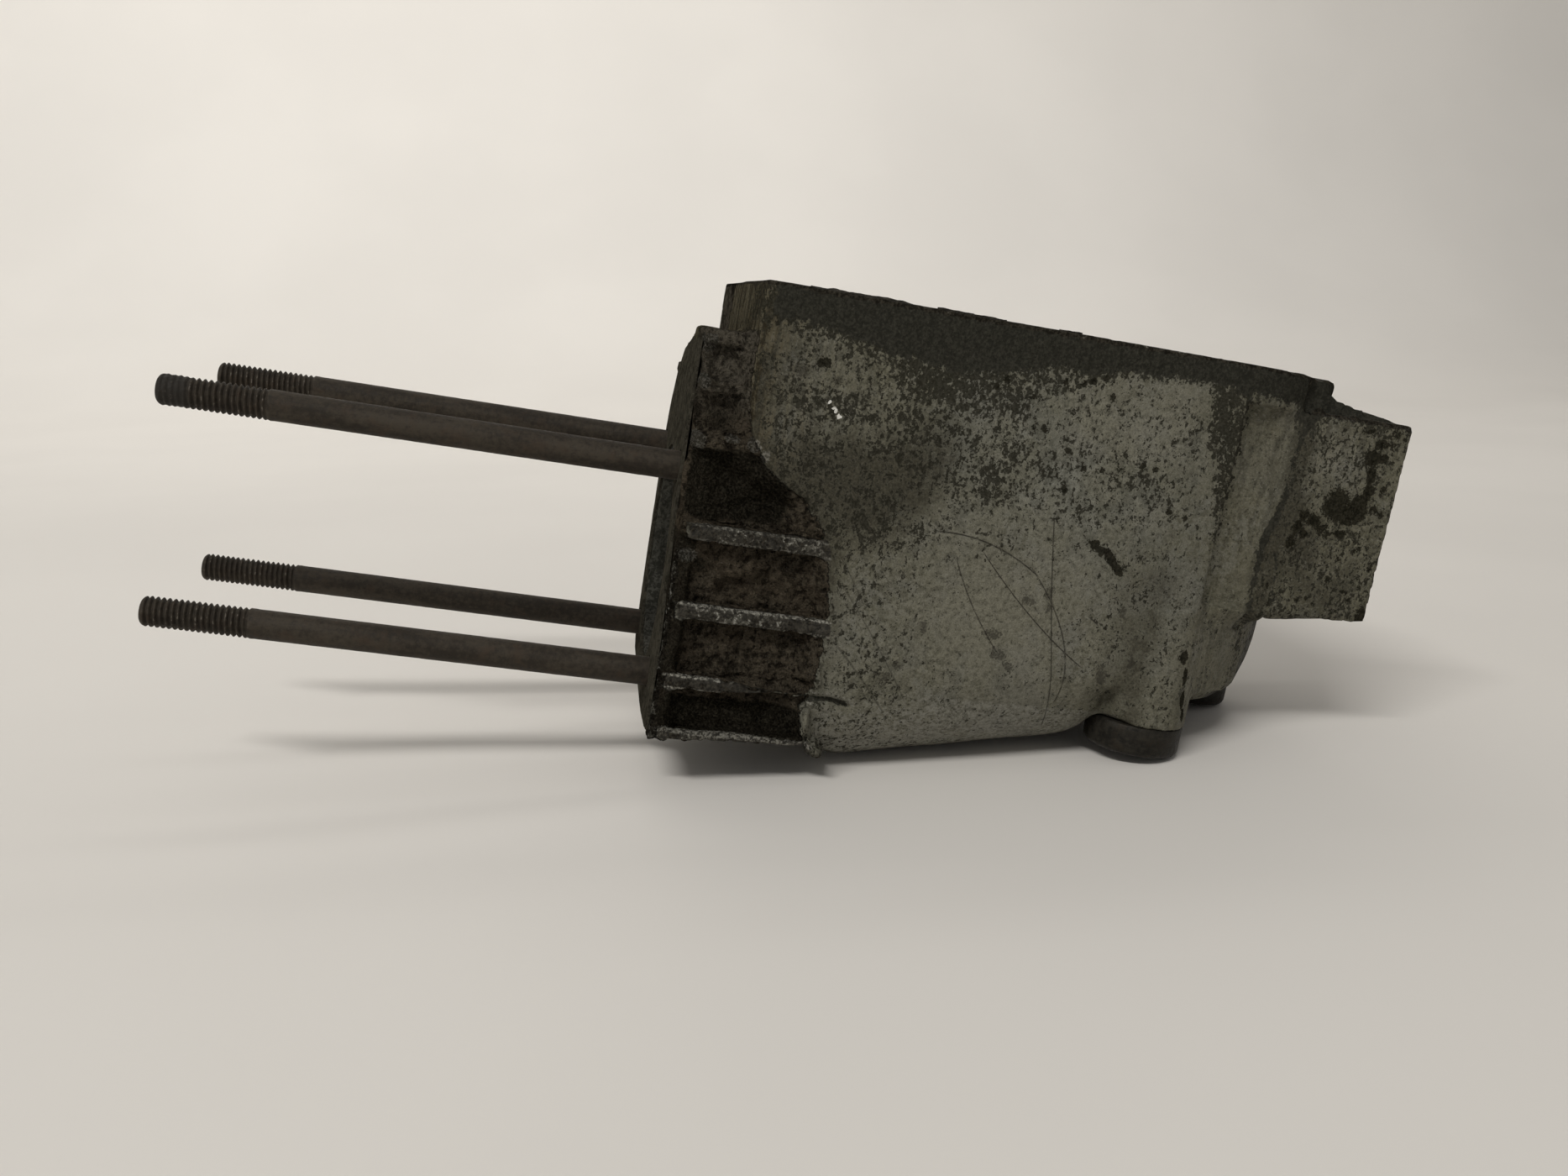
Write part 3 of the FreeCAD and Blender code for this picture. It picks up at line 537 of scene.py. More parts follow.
def quantile(cover):
    """Threshold in a noise of mean 0.5 that leaves this share of it below."""
    p = np.clip(cover, 0.001, 0.999)
    t = np.sqrt(-2 * np.log(np.minimum(p, 1 - p)))
    q = t - (2.30753 + 0.27061 * t) / (1 + 0.99229 * t + 0.04481 * t * t)
    return np.where(p > 0.5, q, -q)


def casting_marks(me):
    """Where the casting is stained, crusted, worn or pale, and where shade and light are painted onto it, as smooth
    fields for its material to break up.
    """
    co, no, ed = mesh_arrays(me)
    c, n = to_cast(co), turn_to_cast(no)
    x, y, z = c.T
    nx, ny, nz = n.T
    xs = np.interp(z, STEP_Z, STEP_X)
    xv = np.interp(z, VALLEY_Z, VALLEY_X)
    front_wall = ((y < -30) & (x > xs - np.where((z > 16.5) & (z < 60), 10.0, 0.6)) & (x > 5)).astype(float)
    inner = ((np.abs(y) < 40.4) & (z > 20) & (x > 19) & (x < 156)) | (np.sqrt(y ** 2 + z ** 2) < 31) | ((np.abs(y) < 31) & (x > 30) & (x < 119) & (z > -23))
    wob = (fbm(c, 9.0, 101, 3) - 0.5) * 7.0 + (fbm(c, 3.0, 111, 3) - 0.5) * 5.0

    # share of the skin under dark residue
    bz = np.interp(x, BAND_X, BAND_Z)
    below = bz - z + wob * 0.35
    cover = np.full(len(co), 0.07)
    tail = np.interp(x, [12, 30, 45, 56, 75, 95, 112, 122, 150], [4, 5, 7, 16, 14, 9, 4, 3, 4])
    cover += 0.55 * (1 - ramp(below, 0.0, tail))
    cover += 0.30 * window(x, 56, 78, 9) * window(z, 36, 58, 8)
    cover += 0.12 * window(x, 78, 126, 8) * window(z, 36, 62, 8)
    cover += 0.14 * np.exp(-((z - 43.5 - 0.02 * (x - 100)) / 2.6) ** 2) * window(x, 76, 124, 5)
    cover += 0.05 * window(x, 60, 126, 10) * window(z, 22, 36, 8)
    cover += 0.32 * window(x, 22, 50, 8) * window(z, 20, 50, 8) + 0.16 * window(x, 14, 50, 6) * window(z, 50, 68, 5)
    cover += 0.14 * window(x, 42, 60, 6) * window(z, -30, 20, 10)
    cover += 0.05 * window(x, 116, 134, 6) * window(z, -22, 22, 8)
    cover += 0.05 * window(x, 134, 150, 4) * window(z, -22, 30, 8)
    cover += 0.24 * window(x, 160, 194, 2)
    cover += 0.16 * window(z, -47, -36, 3) * window(x, 44, 126, 4)
    xd = np.interp(z, [24, 36, 46, 56, 66, 76], [141, 141.5, 140, 138, 137, 136])
    wd = np.interp(z, [24, 36, 46, 56, 66, 76], [2.2, 3.2, 4.4, 6.0, 7.5, 9.0])
    drip = (1 - ramp(np.abs(x - xd + wob * 0.25), wd * 0.55, wd * 1.25)) * ramp(z, 26, 36)
    cover = np.maximum(cover, drip * np.interp(z, [26, 40, 60, 75], [0.45, 0.72, 0.78, 0.9]))
    cover *= 1 - 0.8 * np.exp(-(((x - 84) / 20) ** 2 + ((z - 2) / 15) ** 2))
    # painted light: fewer dark islands on the convex strip before the crease, which faces the light
    strip = window(x, 146, 156, 3) * window(z, 14, 66, 6)
    cover = np.where(strip > 0, cover * (1 - 0.6 * strip), cover)
    cover = np.clip(cover, 0.01, 0.97)
    band = ramp(-below, -3.6, 2.2) * (y < -20) * (nz < 0.8) * ramp(x, 12.6, 16.5)
    # painted shade at the top of the crease by the case's end
    end_crease_shade = np.exp(-((x - 160) / 4.0) ** 2) * ramp(z, 56, 68) * 0.75 * (y < -30)

    # recesses, undersides and crevices
    xs = xs - 2.0 * window(z, -38, -28, 3) * (y < 0)
    recess = (x < xs + 0.2) & (x > 1.0) & (y < -20) & (z < 66) & (z > -42)
    face_y = np.interp(z, [10, 16, 20, 44, 50, 60], [46.9, 45.0, 44.6, 43.8, 42.9, 41.6])
    deepen = np.where(z < 16.5, ramp(xs - x, -0.8, 2.0), np.where(z < 38.5, ramp(xs - x, -2.5, 4.0), ramp(xs - x, -2.5, 2.5)))
    rib_f = on_ribs(y, z) * (x < xs + 0.4) * (x > -1)
    low_rib = rib_f * (z < 20)
    crust = recess * deepen * (1 - low_rib) + ((y > 20) & (x < xs)) * 0.8
    black = recess * (window(z, 19, 34, 3) * window(x, 3, 24, 5) * 0.85 + ramp(-z, 27.5, 30) * (z > -39) * 0.9 + 0.35 * (1 - ramp(x, 5, 16)) * window(z, -20, 14, 3)) * (x < 44)
    black = np.maximum(black, recess * window(z, 40, 47, 1.5) * 0.30)
    black = np.clip(black + (fbm(c, 6.0, 131, 3) - 0.5) * 0.8 * recess, 0, 1) * (crust > 0)
    # painted shade along the crease between the case's end and the lug, and along the second crease beside it
    crease = bump(np.abs(x - xv), 2.4) * (y < -36) * (z > 9) * (z < 74) * np.interp(z, [9, 24, 34, 50, 74], [0.55, 0.8, 0.95, 0.55, 0.75])
    xv2 = np.interp(z, [10, 18, 26, 34, 44], [163.6, 163.0, 161.8, 160.6, 160.0]) + (fbm(c, 5.0, 141, 3) - 0.5) * 3.4
    crease = np.maximum(crease, bump(np.abs(x - xv2), 1.3) * (y < -36) * window(z, 12, 30, 3) * 0.58)
    residue_and_shade = np.maximum(np.maximum(band, end_crease_shade), crease)
    zc = np.interp(x, [36, 40, 45, 50, 54], [-25.0, -24.6, -24.3, -25.3, -26.6])
    residue_and_shade = np.maximum(residue_and_shade, (y < -38) * bump(np.abs(z - zc), 1.5) * window(x, 38, 50, 2) * 0.9)
    # painted shade on the downward faces of the belly's bottom
    residue_and_shade = np.maximum(residue_and_shade, ramp(-nz, 0.93, 1.0) * (z < -25) * 0.30)
    # painted bounce light: downward-facing skin low on the belly made paler, standing in for light thrown up from the
    # bench
    light = window(x, 46, 124, 6) * ramp(-nz, 0.10, 0.45) * (z < -20) * (x > xs) * (y < 0)
    crest = (z > 66.5) & (x > 158) & (y > -43.6) & (y < 30) & (nz < 0.97)
    residue_and_shade = np.maximum(residue_and_shade, crest * 0.9)
    # more painted shade at the top of the crease
    residue_and_shade = np.maximum(residue_and_shade, np.exp(-((x - 162) / 3.6) ** 2) * ramp(z, 58, 69) * (y < -36) * 0.8)
    plate = (x < 5.2) & (y < -20) & (z < 14)
    crust = np.where(plate | ((x < 5.2) & (y < -20) & (z < 66)), 1.0 - low_rib * ramp(x, 0.6, 3.5), crust)
    black = np.where(plate, 0.55, black)

    def spot(px, pz, rx, rz, spin=0.0, soft=0.5):
        a = math.radians(spin)
        u = (x - px) * math.cos(a) + (z - pz) * math.sin(a)
        v = -(x - px) * math.sin(a) + (z - pz) * math.cos(a)
        return (1 - ramp(np.sqrt((u / rx) ** 2 + (v / rz) ** 2), 1 - soft, 1 + soft)) * (y < -30)

    def stroke(pts, width, amount=1.0):
        best = np.full(len(co), 1e9)
        p = np.array(pts, float)
        for a, b in zip(p[:-1], p[1:]):
            d = b - a
            t = np.clip(((x - a[0]) * d[0] + (z - a[1]) * d[1]) / (d @ d), 0, 1)
            best = np.minimum(best, np.hypot(x - a[0] - t * d[0], z - a[1] - t * d[1]))
        return (1 - ramp(best, width * 0.5, width * 1.5)) * (y < -30) * amount

    spots = np.zeros(len(co))
    for s in [(107.4, 25.9, 1.5, 1.3, -30), (109.6, 24.4, 1.0, 1.3, 0), (138.8, -0.6, 1.2, 2.0, 8), (140.8, -6.0, 0.8, 2.4, 8), (141.8, -12.5, 0.8, 2.8, 8),
              (143.2, -17.0, 0.7, 2.2, 8), (28.9, 60.6, 1.9, 1.3, 0)]:
        spots = np.maximum(spots, spot(*s))
    spots = np.maximum(spots, stroke([(111.6, 24.2), (113.6, 22.0), (116.0, 19.6)], 1.15))
    # flakes of dark residue left on the wall
    for k, (px, pz) in enumerate([(94.3, 51.1), (95.2, 48.6), (99.9, 45.1), (105.2, 45.2), (110.5, 46.0), (115.9, 47.9), (119.6, 47.7), (95.9, 39.1), (84.7, 53.0), (87.4, 53.4), (92.5, 68.8),
                                  (95.3, 66.0), (91.0, 65.9), (97.9, 67.0), (75.3, 64.1), (73.0, 61.8), (83.0, 60.7), (103.6, 63.9), (103.2, 71.0), (101.2, 68.2), (130.5, 36.4), (125.8, 37.2)]):
        spots = np.maximum(spots, spot(px, pz, 0.9 + 0.35 * ((k * 7) % 5) / 4, 0.8 + 0.4 * ((k * 3) % 4) / 3, 37.0 * k, 0.7) * 0.80)
    # on the lug: one large broken patch, a smaller one beside it and scattered chips
    for s in [(175.3, 45.4, 3.7, 4.6, 0), (179.0, 43.0, 2.7, 3.0, 0), (181.8, 45.0, 2.7, 4.0, 0), (183.6, 50.2, 1.5, 2.6, 0), (183.2, 54.6, 1.5, 2.6, 0), (182.3, 59.4, 2.3, 2.3, 0), (185.6, 59.6, 1.3, 1.4, 0)]:
        spots = np.maximum(spots, spot(*s, 0.55))
    for s in [(184.0, 63.2, 1.4, 1.5, 0), (186.4, 45.8, 1.0, 0.8, 0), (187.7, 51.4, 0.9, 0.8, 0), (188.8, 44.6, 0.8, 1.0, 0), (178.0, 37.8, 1.5, 0.9, 0)]:
        spots = np.maximum(spots, spot(s[0], s[1], s[2] * 1.3, s[3] * 1.3, s[4], 0.7) * 0.86)
    for s in [(166.9, 41.4, 2.0, 1.4, 0), (169.7, 40.0, 2.0, 1.9, 0), (172.4, 38.6, 1.6, 1.9, 0), (165.4, 37.8, 1.3, 2.0, 0), (174.7, 37.1, 0.9, 0.9, 0), (164.6, 34.0, 1.1, 2.0, 0), (167.6, 36.2, 1.2, 1.6, 0)]:
        spots = np.maximum(spots, spot(s[0], s[1], s[2] * 1.15, s[3] * 1.15, s[4], 0.8) * 0.84)
    for s in [(187.9, 66.4, 1.7, 1.2, 0), (187.4, 63.8, 0.8, 0.7, 0), (177.9, 65.8, 1.3, 0.8, 0), (180.4, 66.4, 1.4, 0.8, 0), (190.2, 65.4, 0.9, 0.9, 0), (190.8, 16.2, 3.6, 2.6, 40), (183.9, 22.2, 1.2, 0.9, 0),
              (185.6, 20.3, 0.9, 0.8, 0), (187.7, 23.9, 0.8, 0.7, 0), (170.9, 18.1, 0.9, 1.1, 0), (173.3, 18.8, 0.8, 0.7, 0), (175.3, 17.4, 0.7, 0.7, 0), (160.8, 21.0, 0.5, 1.8, 0), (162.7, 17.0, 0.6, 1.8, 0),
              (179.8, 30.8, 0.9, 0.7, 0), (183.3, 33.6, 0.8, 0.6, 0), (185.0, 34.6, 0.7, 0.6, 0), (189.4, 30.0, 0.8, 1.2, 0), (178.0, 25.0, 0.8, 1.1, 0)]:
        spots = np.maximum(spots, spot(s[0], s[1], s[2] * 1.1, s[3] * 1.1, s[4], 0.8) * 0.72)
    faint = np.zeros(len(co))
    for s in [(92.6, 9.0, 1.9, 1.3, 10), (97.9, 11.6, 1.2, 2.4, 0), (98.4, 8.0, 0.9, 1.6, 0), (87.2, -6.2, 2.6, 1.6, -20), (90.6, -9.2, 1.8, 1.0, -20), (84.5, -1.0, 2.4, 1.4, 0), (117.0, -8.0, 1.4, 3.0, 20),
              (24.0, 58.0, 2.4, 1.6, 0), (33.0, 57.0, 1.6, 1.2, 0), (61.0, -12.6, 1.4, 1.2, 0), (58.6, -16.0, 1.5, 1.3, 0), (66.0, -1.6, 1.3, 1.6, 0), (124.5, -4.0, 1.0, 2.0, 10), (119.0, 9.0, 1.0, 1.5, 0)]:
        faint = np.maximum(faint, spot(*s) * 0.8)
    on_lug = front_wall * (x > 160)
    lugdirt = np.exp(-(((x - 167) / 6.0) ** 2 + ((z - 34) / 11.0) ** 2)) + np.exp(-(((x - 181) / 8.0) ** 2 + ((z - 22) / 9.0) ** 2)) * 0.6

    # brown haze spreading from the step, and general brown dirt beside the recess
    brown = (np.exp(-(((x - 47) / 13) ** 2 + ((z - 30) / 12) ** 2)) * 1.0 + np.exp(-(((x - 28) / 12) ** 2 + ((z - 34) / 10) ** 2)) * 0.8
             + np.exp(-(((x - 60) / 11) ** 2 + ((z - 44) / 11) ** 2)) * 0.55)
    brown = brown * front_wall + np.exp(-((x - xs) / 3.5) ** 2) * front_wall * 0.45 * (z < 44) + lugdirt * front_wall * (x > 158) * 0.7
    brown = brown + np.exp(-((x - xv - 1.6) / 3.0) ** 2) * front_wall * window(z, 12, 70, 5) * 0.55 + 0.16 * on_lug * (1 - ramp(z, 18, 46))
    brown = brown + front_wall * (0.36 * window(x, 118, 128, 6) * window(z, -26, 18, 8) + 0.16 * window(x, 128, 160, 8) + 0.9 * np.exp(-((x - 13.5) / 3.6) ** 2) * window(z, 38, 66, 5))
    # cleaner pale skin on the belly and high on the wall, together with painted light: a pale band along the belly's
    # bottom for light from the bench, a painted highlight line on the column's right edge, and faint painted light on
    # the convex strip before the crease
    pale_and_painted_light = (np.exp(-(((x - 88) / 26) ** 2 + ((z - 6) / 20) ** 2)) + 0.7 * window(x, 96, 124, 6) * window(z, 50, 68, 4) + 0.08 * np.exp(-(((x - 149) / 4.0) ** 2)) * window(z, 14, 62, 8)
            + 1.0 * window(x, 45, 122, 8) * (1 - ramp(z, -38, -27)) + 0.6 * np.exp(-((x - 142.5) / 0.9) ** 2) * window(z, -20, 2, 3))
    pale_and_painted_light = pale_and_painted_light * (1 - 0.8 * (1 - ramp(x, 26, 44)) * (z > 24)) + 0.85 * np.exp(-(((x - 173) / 7.0) ** 2 + ((z - 56) / 6.0) ** 2))
    pale_and_painted_light = np.clip(pale_and_painted_light, 0, 1) * front_wall
    yellow = front_wall * np.clip(np.clip(1.1 - (x - 12) / 60.0, 0, 1) * ramp(z, -10, 20) + 0.95 * (x > 158) + 0.80 * window(x, 141, 160, 4), 0, 1)
    cool = front_wall * np.exp(-(((x - 90) / 34) ** 2 + ((z - 42) / 22) ** 2))
    corner = ((x < 13.8) & (z > 44) & (nx < -0.2)) * 1.0
    corner = np.maximum(corner, (y < -44) * (1 - ramp(x, 14.5, 18.5)) * ramp(z, 60, 68))
    corner = np.maximum(corner, (np.abs(y) < 40) * (x < 11.9) * (z > 62) * 0.8)
    corner = np.maximum(corner, (y < -40) * (x > xs) * (1 - ramp(x, 14, 38)) * ramp(z, 22, 42) * 0.46)

    # worn bright metal on rib edges, the lower lip and the lug's crest
    flaked = np.select([z > 30, z > 8, z > -12, z > -30], [0.0, window(x, 12, 35, 5), window(x, 8, 30, 4), 0.15 * window(x, 2, 30, 4)], 0.0)
    ribface = low_rib * (0.12 + 0.22 * ramp(x, 1.0, 4.5) + 0.50 * flaked)
    rim_line = (x < 0.9) & (-y > 45.4) & (z < 13)
    third = window(z, -27.6, -20.6, 0.3)
    ribface = ribface * (1 - third * ramp(x, 26, 34))
    ribface = np.maximum(ribface, rim_line * 0.95)
    # pale caps on the rounded ends of the upper ribs
    caps = np.zeros(len(co))
    for s in [(1.8, 36.6, 1.8, 2.2, 0), (9.9, 38.4, 1.8, 1.0, 0), (15.2, 37.8, 1.6, 1.8, 0), (1.4, 60.8, 1.9, 2.2, 0), (1.4, 51.4, 1.3, 1.7, 0), (3.4, 8.2, 2.4, 1.5, 0), (18.4, 35.6, 1.0, 1.6, 0)]:
        caps = np.maximum(caps, spot(*s, 0.8))
    lip = ((z < -38.0) & (x < 41) & (y < -46)) * 0.9
    wear = np.clip(np.maximum(ribface, lip), 0, 1)
    wear = np.maximum(wear, (nz > 0.2) * (z > 77.2) * 0.7)
    wear = np.maximum(wear, ((nx > 0.7) & (x > 190)) * 0.5)
    edge_line = ((z > 77.0) & (y < -45)).astype(float) * window(x, 24, 120, 6)
    wear = np.maximum(wear, edge_line * 0.6)
    wear = np.maximum(wear, ((x > 160) & (z > 68.2) & (y < -42)) * 0.5)
    white = np.zeros(len(co))
    for s in [(32.0, 51.4, 0.55, 0.5, 0), (33.8, 49.4, 1.3, 0.5, -45), (35.2, 47.8, 0.5, 0.45, 0)]:
        white = np.maximum(white, spot(*s, 0.35))

    residue_and_shade = np.where(inner, 0.45, residue_and_shade)
    crust = np.where(inner, 0.0, crust)
    fields = {"residue_and_shade": residue_and_shade, "crust": crust, "black": black, "spots": spots, "faint": faint, "brown": brown, "pale_and_painted_light": pale_and_painted_light, "corner": corner, "wear": wear,
              "white": white, "inner": inner.astype(float), "yellow": yellow, "cool": cool, "rib": low_rib * (y < 0) * ramp(x, 0.6, 2.5), "light": light, "caps": caps}
    for k, v in fields.items():
        v = np.clip(np.asarray(v, float), 0, 1)
        if k in ("crust", "wear", "corner", "inner", "black", "rib"):
            v = spread(v, ed, 1)
        attribute(me, k, v)
    attribute(me, "residue", np.where(front_wall > 0, quantile(cover), quantile(np.full(len(co), 0.25))))
    vector_attribute(me, "cast", c)


SCRATCHES = [  # points in the casting's own X and Z on the front wall, half width in mm, depth of tone
    ("x", [(64.6, 23.6), (72.6, 23.0), (81.9, 21.7), (90.8, 17.8), (94.5, 15.0)], 0.15, 0.85),
    ("z", [(90.8, 17.8), (95.5, 14.6), (99.0, 9.5), (102.2, 4.6), (104.5, -2.6), (106.8, -18.6)], 0.15, 0.75),
    ("x", [(77.7, 20.4), (86.3, 11.6), (97.6, 2.2), (111.4, -7.3)], 0.12, 0.85),
    ("z", [(95.3, 32.4), (96.6, 17.5), (101.1, -0.1), (105.2, -15.8), (106.8, -27.4)], 0.12, 0.8),
    ("x", [(109.4, 7.2), (111.3, 6.1), (113.6, 4.5)], 0.14, 0.8),
    ("z", [(71.5, 17.3), (75.9, 8.6), (81.6, 0.8), (87.8, -6.8)], 0.13, 0.7),
    ("x", [(43.5, 5.8), (50.5, -2.1), (58.0, -12.4), (65.7, -22.9)], 0.14, 0.45),
    ("x", [(40.9, 14.2), (46.8, 6.2), (51.4, -0.9)], 0.12, 0.4),
    ("x", [(44.0, -9.0), (52.0, -17.0), (61.0, -27.0)], 0.20, 0.5),
    ("x", [(16.0, 51.5), (24.0, 48.8), (31.0, 45.0)], 0.14, 0.55),
]


def scratch_mask(N, X, Z):
    total = None
    for along, pts, half, tone in SCRATCHES:
        p = np.array(pts)
        a, b = (p[:, 0], p[:, 1]) if along == "x" else (p[:, 1], p[:, 0])
        k2, k1, k0 = np.polyfit(a, b, 2)
        A, B = (X, Z) if along == "x" else (Z, X)
        curve = N.add(N.mul(N.add(N.mul(A, float(k2)), float(k1)), A), float(k0))
        slope = math.sqrt(1 + float(2 * k2 * a.mean() + k1) ** 2)
        d = N.mul(N.math("ABSOLUTE", N.math("SUBTRACT", B, curve)), 1 / slope)
        line = N.step(d, half * 0.6, half * 1.6, tone, 0.0)
        lo, hi = float(a.min()), float(a.max())
        line = N.mul(N.mul(line, N.step(A, lo - 0.3, lo + 1.5)), N.step(A, hi - 1.5, hi + 0.3, 1.0, 0.0))
        total = line if total is None else N.math("MAXIMUM", total, line)
    return total


def casting_material():
    N = Nodes("cast_aluminium_old")
    P = N.attr_vec("cast_m")
    X, Y, Z = N.xyz(N.attr_vec("cast"))
    # the casting axes, shaken on two scales so that every edge is ragged
    shake = N.vec_add(P, N.vec_scale(N.vec_sub(N.noise_color(1300, 2, 0.6, vec=P), 0.5), 0.0007))
    big, mid = N.noise(60, 4, 0.6, vec=P), N.noise(170, 5, 0.62, vec=shake)
    small, fine, tiny = N.noise(640, 4, 0.62, vec=shake), N.noise(1500, 3, 0.6, vec=P), N.noise(3200, 2, 0.6, vec=P)
    tall = N.noise(740, 4, 0.60, vec=shake, squash=(1.0, 1.0, 0.66))
    streak = N.noise(560, 4, 0.62, vec=shake, squash=(1.0, 1.0, 0.16))

    # bare skin: grey, yellower on the left and greener in the middle, flaked on two scales
    tone = N.add(N.mul(mid, 0.45), N.mul(small, 0.55))
    skin = N.mix(N.step(tone, 0.40, 0.60), (0.104, 0.101, 0.078), (0.186, 0.180, 0.144))
    skin = N.mix(N.mul(N.attr("yellow"), 0.75), skin, N.mix(N.step(N.add(N.mul(streak, 0.7), N.mul(small, 0.3)), 0.42, 0.58), (0.042, 0.038, 0.023), (0.142, 0.132, 0.091)))
    skin = N.mix(N.mul(N.attr("cool"), 0.6), skin, N.mix(N.step(tone, 0.40, 0.60), (0.128, 0.130, 0.109), (0.236, 0.238, 0.205)))
    skin = N.mix(N.mul(N.step(big, 0.46, 0.62), 0.35), skin, (0.092, 0.090, 0.066))
    # pale skin where it is cleaner, with painted light along the belly's bottom, on the column's right edge and on the
    # strip before the crease
    skin = N.mix(N.mul(N.attr("pale_and_painted_light"), N.step(small, 0.30, 0.60, 0.35, 0.80)), skin, (0.215, 0.207, 0.168))
    olive = N.step(N.add(N.mul(N.noise(34, 3, 0.6, vec=P), 0.6), N.mul(mid, 0.4)), 0.43, 0.57)
    skin = N.mix(N.mul(olive, 0.42), skin, N.mix(N.step(small, 0.42, 0.58), (0.082, 0.076, 0.044), (0.170, 0.160, 0.108)))
    haze = N.step(N.add(N.mul(N.noise(46, 3, 0.6, vec=shake), 0.6), N.mul(small, 0.4)), 0.52, 0.62)
    skin = N.mix(N.mul(haze, 0.30), skin, (0.172, 0.174, 0.158))
    skin = N.mix(N.mul(N.step(fine, 0.54, 0.66), 0.35), skin, (0.245, 0.236, 0.194))
    skin = N.mix(N.mul(N.step(tiny, 0.40, 0.52, 1.0, 0.0), 0.30), skin, (0.040, 0.037, 0.026))
    # painted bounce light on the belly's underside, from the light field
    skin = N.mix(N.mul(N.attr("light"), N.step(N.add(N.mul(small, 0.5), N.mul(fine, 0.5)), 0.44, 0.60, 0.10, 0.75)), skin, (0.250, 0.245, 0.212))
    # brown haze
    brown_f = N.step(N.add(N.attr("brown"), N.mul(N.math("SUBTRACT", N.add(N.mul(mid, 0.5), N.mul(small, 0.5)), 0.5), 2.6)), 0.16, 0.80)
    skin = N.mix(N.mul(brown_f, 0.86), skin, N.mix(N.step(fine, 0.42, 0.60), (0.026, 0.023, 0.014), (0.052, 0.047, 0.031)))
    # streaked brown end corner
    skin_corner = N.mix(N.step(N.add(N.mul(streak, 0.7), N.mul(fine, 0.3)), 0.42, 0.58), (0.027, 0.0225, 0.0145), (0.096, 0.084, 0.056))
    skin_corner = N.mix(N.mul(N.step(N.add(N.mul(streak, 0.5), N.mul(tall, 0.5)), 0.55, 0.63), 0.4), skin_corner, (0.140, 0.129, 0.100))
    corner_f = N.mul(N.step(N.add(N.attr("corner"), N.mul(N.math("SUBTRACT", N.add(N.mul(streak, 0.6), N.mul(small, 0.4)), 0.5), 1.8)), 0.18, 0.72), N.step(N.attr("corner"), 0.02, 0.2))
    skin = N.mix(corner_f, skin, skin_corner)
    # ragged islands of dark residue, their share set by the field
    field = N.add(N.add(N.mul(N.noise(840, 4, 0.60, vec=shake, squash=(1.0, 1.0, 0.70)), 0.50), N.mul(N.noise(1600, 3, 0.6, vec=shake), 0.30)), N.mul(mid, 0.20))
    limit = N.add(N.mul(N.attr("residue"), 0.058), 0.5)
    gap = N.math("SUBTRACT", limit, field)
    islands = N.step(gap, -0.008, 0.010)
    fringe = N.step(gap, -0.050, 0.0)
    skin = N.mix(N.mul(fringe, 0.28), skin, (0.085, 0.083, 0.066))
    dark = N.mix(N.step(fine, 0.42, 0.60), (0.017, 0.016, 0.011), (0.034, 0.032, 0.024))
    skin = N.mix(N.mul(islands, 0.90), skin, dark)
    pin = N.step(N.add(N.mul(fine, 0.7), N.mul(small, 0.3)), 0.375, 0.410, 1.0, 0.0)
    skin = N.mix(N.mul(pin, 0.75), skin, (0.024, 0.022, 0.015))
    # marks set one by one, their edges broken
    ragged_edge = N.mul(N.math("SUBTRACT", N.add(N.mul(small, 0.6), N.mul(fine, 0.4)), 0.5), 3.8)
    spot_f = N.mul(N.step(N.add(N.attr("spots"), N.mul(ragged_edge, 0.85)), 0.42, 0.56), N.step(N.attr("spots"), 0.05, 0.2))
    skin = N.mix(N.mul(spot_f, 0.92), skin, N.mix(N.step(fine, 0.42, 0.60), (0.008, 0.0075, 0.005), (0.022, 0.020, 0.014)))
    faint_f = N.mul(N.step(N.add(N.attr("faint"), N.mul(ragged_edge, 1.15)), 0.36, 0.60), N.step(N.attr("faint"), 0.05, 0.2))
    skin = N.mix(N.mul(N.mul(faint_f, N.step(fine, 0.38, 0.52, 0.45, 1.0)), 0.78), skin, (0.036, 0.033, 0.024))
    # scratches
    scr = N.mul(N.mul(scratch_mask(N, X, Z), N.step(Y, -36.0, -33.0, 1.0, 0.0)), N.step(fine, 0.36, 0.50, 0.45, 1.0))
    skin = N.mix(scr, skin, (0.018, 0.016, 0.011))
    # black residue band, which also carries the painted shade in the creases, at the case's end and under the belly
    g = N.add(N.attr("residue_and_shade"), N.mul(N.math("SUBTRACT", N.add(N.mul(tall, 0.6), N.mul(small, 0.4)), 0.5), 2.2))
    residue_and_shade_f = N.step(g, 0.38, 0.58)
    residue_and_shade_c = N.mix(N.step(N.add(N.mul(small, 0.5), N.mul(fine, 0.5)), 0.42, 0.60), (0.023, 0.0225, 0.018), (0.041, 0.0395, 0.0315))
    residue_and_shade_c = N.mix(N.mul(N.step(fine, 0.64, 0.72), 0.5), residue_and_shade_c, (0.075, 0.072, 0.060))
    skin = N.mix(N.mul(residue_and_shade_f, 0.96), skin, residue_and_shade_c)
